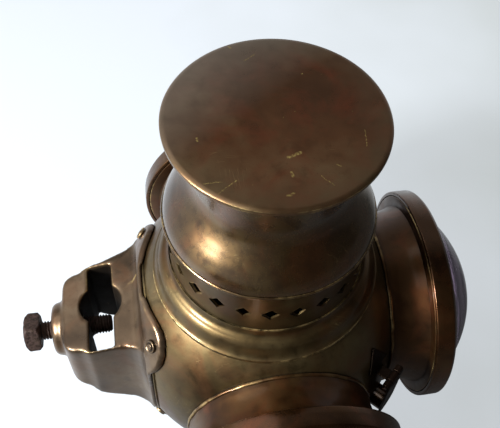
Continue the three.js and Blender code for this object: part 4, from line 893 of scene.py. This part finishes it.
def make_barrel(side, azimuth):
    out, radius = along_and_radius(f"barrel_{side}", azimuth)
    mouth = float(out.max())
    cup = float(radius.max())
    floor = mouth - 4.9
    seat = over_ball(NECK, 0.3)
    foot = seat - 7.5
    waist = 58.7
    wide_end = 63.0
    flare = through([(waist, seat + 3.0), (waist + 0.1, seat + 8.0), (waist + 1.5, seat + 16.0),
                     (wide_end, floor - 1.6)], 7)
    bead = bow(NECK + 1.9, seat - 0.7, (1.1, 1.2), range(-75, 91, 15))
    outline = [(NECK, foot), (NECK, seat - 2.2)] + bead + flare
    outline += rounded([(wide_end, floor - 1.6), (cup, floor - 1.2, 0.5), (cup, mouth, 0.3),
                        (cup - SHEET, mouth, 0.3)], 3)[1:]
    outline += [(cup - SHEET, floor), (wide_end, floor), (60.3 - SHEET, seat + 15.4), (NECK - SHEET, seat),
                (NECK - SHEET, foot)]

    def form(wide, along, angle):
        """Solder runs unevenly round the seam with the ball."""
        if along > seat + 2.2 or along < seat - 2.4 or wide < NECK + 0.3:
            return wide, along
        spot = Vector((cos(angle) * 7, sin(angle) * 7, azimuth))
        return wide + 0.5 * noise.noise(spot), along + 0.45 * noise.noise(spot + Vector((0, 0, 5)))

    piece = spun(f"barrel_piece_{side}", outline, FINE, outward(azimuth), 4.0, 0.12, form)
    dress(piece, "barrel", f"barrel_{side}", 45, 0.6)


def make_ring(side, azimuth):
    out, radius = along_and_radius(f"lens_ring_{side}", azimuth)
    back, front = ends(out)
    lip, wide = ends(radius)
    bore = float(radius[out < back + 0.01].min())
    rim_out = back + 6.3
    outline = rounded([
        (bore, back, 0.3),
        (wide - 0.1, back, 0.9),
        (wide, back + 4.0, 3.0),
        (wide - 0.15, front - 2.2, 1.9),
        (wide - 2.6, front, 1.9),
        (lip + 1.2, front - 0.1, 0.8),
        (lip, front - 0.7, 0.4),
        (66.1, rim_out, 0.2),
        (bore, rim_out, 0.2),
    ])
    piece = spun(f"ring_piece_{side}", outline, FINE, outward(azimuth), 4.0, 0.10)
    dress(piece, "ring", f"lens_ring_{side}", 45, 0.12)


def make_lens(side, azimuth):
    """A dome outside; inside it steps back in two rings."""
    out, radius = along_and_radius(f"lens_{side}", azimuth)
    back, apex = ends(out)
    wide = float(radius.max())
    rim = back + 3.5
    edge = 65.8
    sag = apex - rim
    dome_radius = (sag ** 2 + edge ** 2) / (2 * sag)
    centre = apex - dome_radius
    dome = [(dome_radius * sin(a), centre + dome_radius * cos(a))
            for a in np.linspace(asin(edge / dome_radius), 0, 36)]
    wall = 6.5

    def inside(share, step):
        r = edge * share
        return r, centre + sqrt(dome_radius ** 2 - r ** 2) - wall - step

    hollow = [(0, apex - wall), inside(0.2, 0), inside(0.41, 0.6), inside(0.42, 3), inside(0.44, 0), inside(0.58, 0),
              inside(0.70, 0.6), inside(0.72, 3), inside(0.74, 0), inside(0.85, 0), (edge - 3.5, back)]
    flange = rounded([(edge - 3.5, back), (wide, back, 0.4), (wide, rim, 0.4), dome[0]], 3)[1:-1]
    outline = hollow + flange + dome[:-1] + [(0, apex)]
    piece = spun(f"lens_piece_{side}", outline, MEDIUM, outward(azimuth), 6.0)
    dress(piece, "glass", f"lens_{side}", 30)


def make_blank_disc():
    out, radius = along_and_radius("blank_disc", 180)
    front = float(out.max())
    foot = over_ball(NECK) - 7.5
    flange = NECK + 1.3
    outline = [(0, front), (0, front - SHEET), (NECK - SHEET, front - SHEET), (NECK - SHEET, foot), (NECK, foot),
               (NECK, over_ball(NECK, 0.3)), (flange, over_ball(flange, 0.3)), (flange, front - 0.4),
               (NECK + 0.9, front), (0, front)]
    piece = spun("blank_piece", outline, MEDIUM, outward(180), 5.0)
    dress(piece, "dull", "blank_disc")


# ---- bracket ----


# The keyhole socket: its slot runs across the casting and has a round bore in it.
SOCKET_OUT = 100.0
SLOT_WIDTH = 16.0
SLOT_HALF_LENGTH = 31.0
BORE_ACROSS = 2.7
BORE_RADIUS = 14.0

# The casting's top slopes down from here, where it meets the saddle.
TOP_START_RISE = 34.8
TOP_START_OUT = 87.7
TOP_SLOPE = 7.8 / 43.3

# The old crack, from one end to the other.
CRACK = ((-92.7, 8.4), (-82.9, 15.7))


def near_socket(places, beside, beyond, around):
    """The points in the socket or this near to its slot's sides, its slot's ends and its bore."""
    out, across = -places[:, 0], places[:, 1]
    slot = (out > SOCKET_OUT - beside) & (out < SOCKET_OUT + SLOT_WIDTH + beside)
    slot &= np.abs(across) < SLOT_HALF_LENGTH + beyond
    bore = np.hypot(out - SOCKET_OUT - SLOT_WIDTH / 2, across - BORE_ACROSS) < BORE_RADIUS + around
    return slot | bore


def socket_painted_shade(piece):
    """Marks the walls inside the keyhole socket for painted shade, darker the further they lie below the top."""
    places = places_of(piece)
    top = TOP_START_RISE - TOP_SLOPE * (-places[:, 0] - TOP_START_OUT)
    depth = ((top - places[:, 2] - 0.9) / 2.0).clip(0, 1)
    keep_value(piece, "socket_shade", near_socket(places, 0.9, 0.9, 0.9) * depth)


def soften_outside(piece):
    """Rounds the casting's outer edges well; those of the socket and the saddle stay as they are."""
    places = places_of(piece)
    saddle = np.linalg.norm(places, axis=1) < BALL + 6.5
    chosen = np.nonzero(~(near_socket(places, 4, 2.5, 5) | saddle))[0]
    group = piece.vertex_groups.new(name="outside")
    group.add(chosen.tolist(), 1.0, "REPLACE")
    smooth = piece.modifiers.new("softer", "SMOOTH")
    smooth.iterations = 45
    smooth.vertex_group = "outside"
    return applied(piece)


def mark_crack(piece):
    """The old crack from the socket to the saddle shows bright; what faces the ball isn't worn."""
    places = places_of(piece)
    kept = piece.data.attributes["edge"].data
    values = read(kept, "value", 1)
    values = np.where(np.linalg.norm(places, axis=1) < BALL + 3.2, np.minimum(values, 0), values)
    start, end = np.array(CRACK)
    run = end - start
    share = ((places[:, :2] - start) @ run / (run @ run)).clip(0, 1)
    sway = 0.5 * np.sin(places[:, 0] * 1.3)
    gap = np.linalg.norm(places[:, :2] - start - share[:, None] * run + sway[:, None] * (0, 1), axis=1)
    values = np.where((gap < 0.65) & (places[:, 2] > 24), 1.0, values)
    kept.foreach_set("value", values.astype(np.float32))


def make_bracket():
    piece = soften_outside(soft_copy("bracket_casting", "bracket", 0.8, 20))
    roughened(piece, [(16.0, 0.10), (3.0, 0.02)])
    socket_painted_shade(piece)
    dress(piece, "cast", "bracket_casting", 60, 0.7)
    mark_crack(piece)


# A rivet's head from its edge inwards, a ring round a low knob: mm from the edge, and share of the height.
RIVET_HEAD = ((0, 0), (0, 0.5), (0.35, 0.72), (0.9, 0.72), (1.4, 0.4), (1.9, 0.4), (2.3, 0.9), (2.7, 0.99),
              (3.2, 0.85))


def make_rivets():
    for index in range(1, 5):
        node = f"bracket_rivet_{index}"
        middle = places_of(NODES[node]).mean(0)
        direction = middle / np.linalg.norm(middle)
        along, off = along_and_off(node, direction)
        low, high = ends(along)
        wide = float(off.max())
        foot = float(along[off > wide - 0.01].min())
        head = high - foot
        neck = 2.4
        outline = [(0, low), (2.6, low + 0.25), (3.36, low + 0.8), (3.36, low + 1.4), (neck, low + 1.4), (neck, foot)]
        outline += [(wide - back, foot + up * head) for back, up in RIVET_HEAD]
        outline.append((0, foot + 0.8 * head))
        place = upright() @ Vector((0, 0, 1)).rotation_difference(Vector(direction)).to_matrix().to_4x4()
        piece = spun(f"rivet_piece_{index}", outline, SMALL, place, 2.0)
        dress(piece, "cast", node, 50, 0.8)


# ---- clamp screw with a real thread ----


def make_screw():
    low, high = corners("clamp_screw")
    tip, head_top = -high.x, -low.x - 0.3
    head_height, across, shank, pitch, thread_depth = 10.7, 19.0, 6.35, 1.95, 0.95
    neck_end = head_top - head_height
    shaft_end = neck_end + 0.6
    place = outward(180, middle_rise("clamp_screw") - AXIS)

    def form(wide, along, angle):
        """A thread, and a tip that gets narrow."""
        phase = (along / pitch - angle / (2 * pi)) % 1.0
        cut = max(0.0, min(1.0, 1.45 * (1 - abs(2 * phase - 1)) - 0.2))
        return min(wide - thread_depth * cut, wide - 1.6 + (along - tip) * 0.9), along

    rings = ceil((shaft_end - tip) / (pitch / 9)) + 1
    rod = [(shank - 0.02, along) for along in np.linspace(tip, shaft_end, rings)]
    shaft = spun("shaft", [(0, tip), *rod, (0, shaft_end)], 48, place, 1000, form=form)
    half = across / 2
    square = rounded([(x * half, y * half, 1.3) for x, y in SQUARE], 3)
    middle = place @ along_z(neck_end + head_height / 2) @ around_z(20)
    head = prism("head", square, head_height, middle)
    shape = [(0, neck_end), (half + 1.2, neck_end), (half + 3.6, neck_end + 1.8), (half + 3.6, head_top - 2.6),
             (half + 0.6, head_top - 0.4), (half - 1.8, head_top), (0, head_top)]
    carved(head, [spun("blank", shape, MEDIUM, place, 30)], "INTERSECT")
    roughened(evened(head, 0.5, 5), [(2.4, 0.16), (6.0, 0.12)])
    dress(merged([head, shaft], "screw"), "iron", "clamp_screw", 50)


# ---- sight hole, skirt and pot ----


def make_sight_hole():
    out, _ = along_and_radius("sight_tube", SIGHT_AZIMUTH)
    low, high = ends(out)
    bore, radius = 6.4, 7.5
    outline = rounded([(bore, low, 0.2), (radius, low, 0.2), (radius, high, 0.3), (bore, high, 0.3)], 3)
    place = outward(SIGHT_AZIMUTH, middle_rise("sight_tube") - AXIS)
    dress(spun("sight_tube_piece", outline, 48, place, 3.0), "brass", "sight_tube")
    dress(soft_copy("hinge_leaf", "hinge_leaf_piece", 0.34, 5), "sooty", "hinge_leaf", 50, 0.04)
    dress(soft_copy("sight_shutter", "shutter_piece", 0.36, 5), "sooty", "sight_shutter", 50, 0.1)
    dress(soft_copy("hinge_pin", "hinge_pin_piece", 0.25, 3), "iron", "hinge_pin", 50)


# The pot's lugs, and the bayonet slots that they turn in.
LUG_AZIMUTHS = (60, 180, 300)
LUG_HEIGHT = 3
SLOT_LOW, SLOT_HIGH = 44.0, 48.0
SLOT_FOOT = 20.0
TWIST = 24


def slot_tool(bore, radius, start, end, low, high):
    """A block over the skirt's wall from start to end, in degrees."""
    arc = np.radians(np.linspace(start, end, 9))
    shape = [(cos(a) * (radius + 4), sin(a) * (radius + 4)) for a in arc]
    shape += [(cos(a) * (bore - 3), sin(a) * (bore - 3)) for a in arc[::-1]]
    return prism("tool", shape, high - low, along_z((low + high) / 2))


def make_skirt():
    low, high = corners("body_skirt")
    radius = widest("body_skirt") - 1.1
    bottom = low.z
    bore = radius - SHEET
    fillet = radius + 0.9

    def top(wide, gap=0.3):
        return AXIS - over_ball(wide, gap)

    outline = [(bore, bottom + 0.2), (bore + 0.3, bottom)] + bow(radius, bottom + 1.5, (1.1, 1.5), range(-90, 91, 20))
    outline += [(radius, top(radius) - 1.5), (fillet, top(radius) - 0.4), (fillet, top(fillet, 0.05)),
                (radius, top(radius, 0.05)), (bore, top(bore))]
    piece = spun("skirt", outline, FINE, Matrix.Identity(4), 4.0, 0.10)
    half = degrees(2.5 / bore)
    level, down = [], []
    for lock in LUG_AZIMUTHS:
        free = lock + TWIST
        level.append(slot_tool(bore, radius, lock - half, free + half, SLOT_LOW, SLOT_HIGH))
        down.append(slot_tool(bore, radius, free - half, free + half, SLOT_FOOT, SLOT_HIGH))
    carved(piece, level)
    carved(piece, down)
    dress(piece, "dull", "body_skirt", 35)


def make_pot():
    """A can with a bead that the skirt stands on, a sleeve inside the skirt and three lugs."""
    top = corners("fount_pot")[1].z
    bead_top, bead, radius, sleeve = 35.7, 69.2, 64.0, 66.3
    outline = [(0, 0.9), (radius - 11, 0.9), (radius - 9.6, 0.45), (radius - 8, 0.02), (radius - 4.5, 0.0)]
    outline += bow(radius - 4, 4, (4, 4), range(-80, 1, 16))
    outline += [(radius, 14.0), (radius + 0.45, 14.6), (radius + 0.45, 15.6), (radius, 16.2)]
    outline += [(radius, bead_top - 5.4)]
    outline += [(radius + (bead - radius) * (0.5 - 0.5 * cos(radians(a))), bead_top - 5.0 + 2.0 * a / 180)
                for a in range(20, 181, 20)]
    outline += [(bead, bead_top - 1.6), (bead - 0.5, bead_top - 0.5), (bead - 1.4, bead_top), (sleeve, bead_top),
                (sleeve, top - 0.3), (sleeve - 0.4, top), (sleeve - SHEET, top), (sleeve - SHEET, bead_top - 3.3),
                (radius - SHEET, bead_top - 4.5), (radius - SHEET, 4.0), (radius - SHEET - 2, 2.1), (0, 2.1)]
    pot = spun("pot_can", outline, FINE, Matrix.Identity(4), 5.0, 0.10)
    foot, end = sleeve - 0.6, bead - 0.2
    shape = rounded([(foot, -2, 0.1), (end, -2, 0.5), (end, 2, 0.5), (foot, 2, 0.1)], 3)
    middle = along_z((SLOT_LOW + SLOT_HIGH) / 2)
    lugs = [prism("lug", shape, LUG_HEIGHT, around_z(azimuth) @ middle) for azimuth in LUG_AZIMUTHS]
    dress(merged([pot] + lugs, "pot"), "dull", "fount_pot", 35)


def make_inside():
    """Fine versions of the pieces that show through the lenses and under the cap."""
    low, high = rise_span("draught_tube")
    wide, rise = wide_and_rise("draught_tube")
    foot = float(wide[rise < low + 0.01].max())
    top = float(wide[rise > high - 0.01].max())
    deck = float(wide.max())
    deck_rise = 79.0
    at_deck = foot + (top - foot) * (deck_rise - low) / (high - low)
    outline = rounded([
        (foot - SHEET, low, 0.3), (foot, low, 0.3), (at_deck, deck_rise, 0.6), (deck, deck_rise, 0.3),
        (deck, deck_rise + SHEET, 0.3), (at_deck, deck_rise + SHEET, 0.6), (top, high, 0.3),
        (top - SHEET, high, 0.3)], 3)
    dress(spun("draught_piece", outline, 72, upright(), 8.0, 0.2), "sooty", "draught_tube", 35)
    for index in range(1, 4):
        dress(soft_copy(f"cap_stay_{index}", f"stay_piece_{index}", 0.45, 4), "brass", f"cap_stay_{index}", 50)


def paint_rest():
    """Materials for the nodes that show as they are."""
    looks = {"lens_gasket": "gasket", "fount_tank": "tin", "fount_spring": "tin", "filler_cap": "brass",
             "burner_collar": "brass", "burner_body": "brass", "wick_tube": "brass", "wick": "cotton",
             "raiser_shaft": "iron", "raiser_knob": "brass", "flame_cone": "brass"}
    for name, node in NODES.items():
        if node.hide_render:
            continue
        stem = max((key for key in looks if name.startswith(key)), key=len)
        node.data.materials.clear()
        node.data.materials.append(MATERIALS[looks[stem]])


# ---- floor, backdrop and light ----

WHITE = (1.0, 1.0, 1.0)
COOL_WHITE = (0.90, 0.95, 1.0)
# Light grey for painted shade on the paper towards the right.
SHADED_GREY = (0.74, 0.78, 0.78)
DIM = (0.045, 0.042, 0.039)
PALE_SHEET = (0.86, 0.90, 0.96)
ROOM_LIGHT = (0.30, 0.32, 0.36)
FLOOR_HALF = 6000


def paper_tone(where, parts, far):
    """White at the left, light grey with painted shade at the right, and white again far away."""
    clouds = span(grain(where, 4.0, 3.0, 0.5), 0.3, 0.7, -0.12, 0.12)
    # Painted shade: the paper turns grey towards the right.
    rightward_shade = plus(parts["X"], clouds)
    look = mixed(span(rightward_shade, 0.0, 0.36), COOL_WHITE, SHADED_GREY)
    return mixed(far, look, COOL_WHITE)


def seen_straight(path):
    return plus(path["Is Camera Ray"], path["Is Transmission Ray"], clamp=True)


def floor_material():
    """White paper. Its mirror image in the lamp fades to the right and to the front, where the room is dim."""
    material, where = new_material("floor_paper")
    parts = put("SeparateXYZ", {0: where}).outputs
    far = span(vectors("LENGTH", where), 0.7, 1.8)
    look = paper_tone(where, parts, far)
    lit = span(minus(parts["X"], times(parts["Y"], 1.7)), 0.19, -0.20, 0.06, 1.0)
    path = put("LightPath", {}, where.id_data).outputs
    dimming = mixed(lit, mixed(path["Is Glossy Ray"], WHITE, DIM), WHITE)
    base = mixed(1.0, look, dimming, "MULTIPLY")
    matt = bumpy(0.1, 0.001, grain(where, 300.0, 4.0), {
        "Base Color": mixed(0.25, base, (0.1, 0.1, 0.1)), "Roughness": 0.9})
    glow = put("Emission", {"Color": base, "Strength": 1.0}).outputs["Emission"]
    share = plus(seen_straight(path), path["Is Glossy Ray"], clamp=True)
    share = times(share, span(far, 0.0, 1.0, 0.62, 1.0))
    show(put("MixShader", {"Fac": share, 1: matt, 2: glow}).outputs["Shader"])
    return material


def make_floor():
    spots = [(x * FLOOR_HALF, y * FLOOR_HALF, 0) for x, y in SQUARE]
    floor = built("floor", spots, [[0, 1, 2, 3]], Matrix.Identity(4))
    floor.data.materials.append(floor_material())


def mirrored_room(tree):
    """What the metal mirrors: a pale sheet behind and at the left, more of it overhead, and a little at the right."""
    parts = put("SeparateXYZ", {0: put("TexCoord", {}, tree).outputs["Generated"]}).outputs
    x, y, z = parts["X"], parts["Y"], parts["Z"]
    behind = span(y, 0.1, 0.6, 0.0, 0.7)
    left = span(x, -0.25, -0.85)
    sheet = times(larger(behind, left), span(z, 0.82, 0.20))
    wall = span(x, 0.10, -0.75, 0.0, 0.42)
    right = times(span(x, 0.45, 0.8), span(y, 0.0, 0.4))
    right = times(right, span(z, 0.45, 0.2, 0.0, 0.25))
    overhead = times(span(z, 0.4, 0.75, 0.0, 0.38), span(y, 0.1, 0.45))
    shown = larger(larger(sheet, wall), larger(right, overhead))
    return mixed(shown, DIM, PALE_SHEET)


def make_world():
    """A plain soft light, and for mirrors a dim room with pale sheets."""
    world = bpy.data.worlds.new("room")
    bpy.context.scene.world = world
    world.use_nodes = True
    tree = world.node_tree
    tree.nodes.clear()
    path = put("LightPath", {}, tree).outputs
    look = mixed(path["Is Glossy Ray"], ROOM_LIGHT, mirrored_room(tree))
    look = mixed(seen_straight(path), look, COOL_WHITE)
    show(put("Background", {"Color": look, "Strength": 1.0}).outputs["Background"], "World")


def make_lamp(name, azimuth, elevation, distance, size, power, tint, aim=(0, 0, 0.2)):
    """An area light. Azimuth is from the back (+Y) towards the right (+X)."""
    data = bpy.data.lights.new(name, "AREA")
    data.shape = "RECTANGLE"
    data.size, data.size_y = size
    data.energy = power
    data.color = tint
    light = new_object(name, data)
    turn, up = radians(azimuth), radians(elevation)
    direction = Vector((sin(turn) * cos(up), cos(turn) * cos(up), sin(up)))
    light.location = Vector(aim) + direction * distance
    light.rotation_euler = direction.to_track_quat("Z", "Y").to_euler()


def make_lights():
    make_lamp("window", -112, 27, 1.1, (0.25, 0.25), 31, (0.93, 0.97, 1.0))
    make_lamp("sky", -85, 55, 1.4, (1.5, 1.2), 8, (0.95, 0.97, 1.0))


make_camera()
make_cap()
make_hood()
make_vent_ring()
make_collar()
make_ball()
for side_name, side_azimuth in LENS_SIDES.items():
    make_barrel(side_name, side_azimuth)
    make_ring(side_name, side_azimuth)
    make_lens(side_name, side_azimuth)
make_blank_disc()
make_bracket()
make_rivets()
make_screw()
make_sight_hole()
make_skirt()
make_pot()
make_inside()
paint_rest()
make_floor()
make_world()
make_lights()

bpy.context.scene.view_settings.view_transform = "Standard"
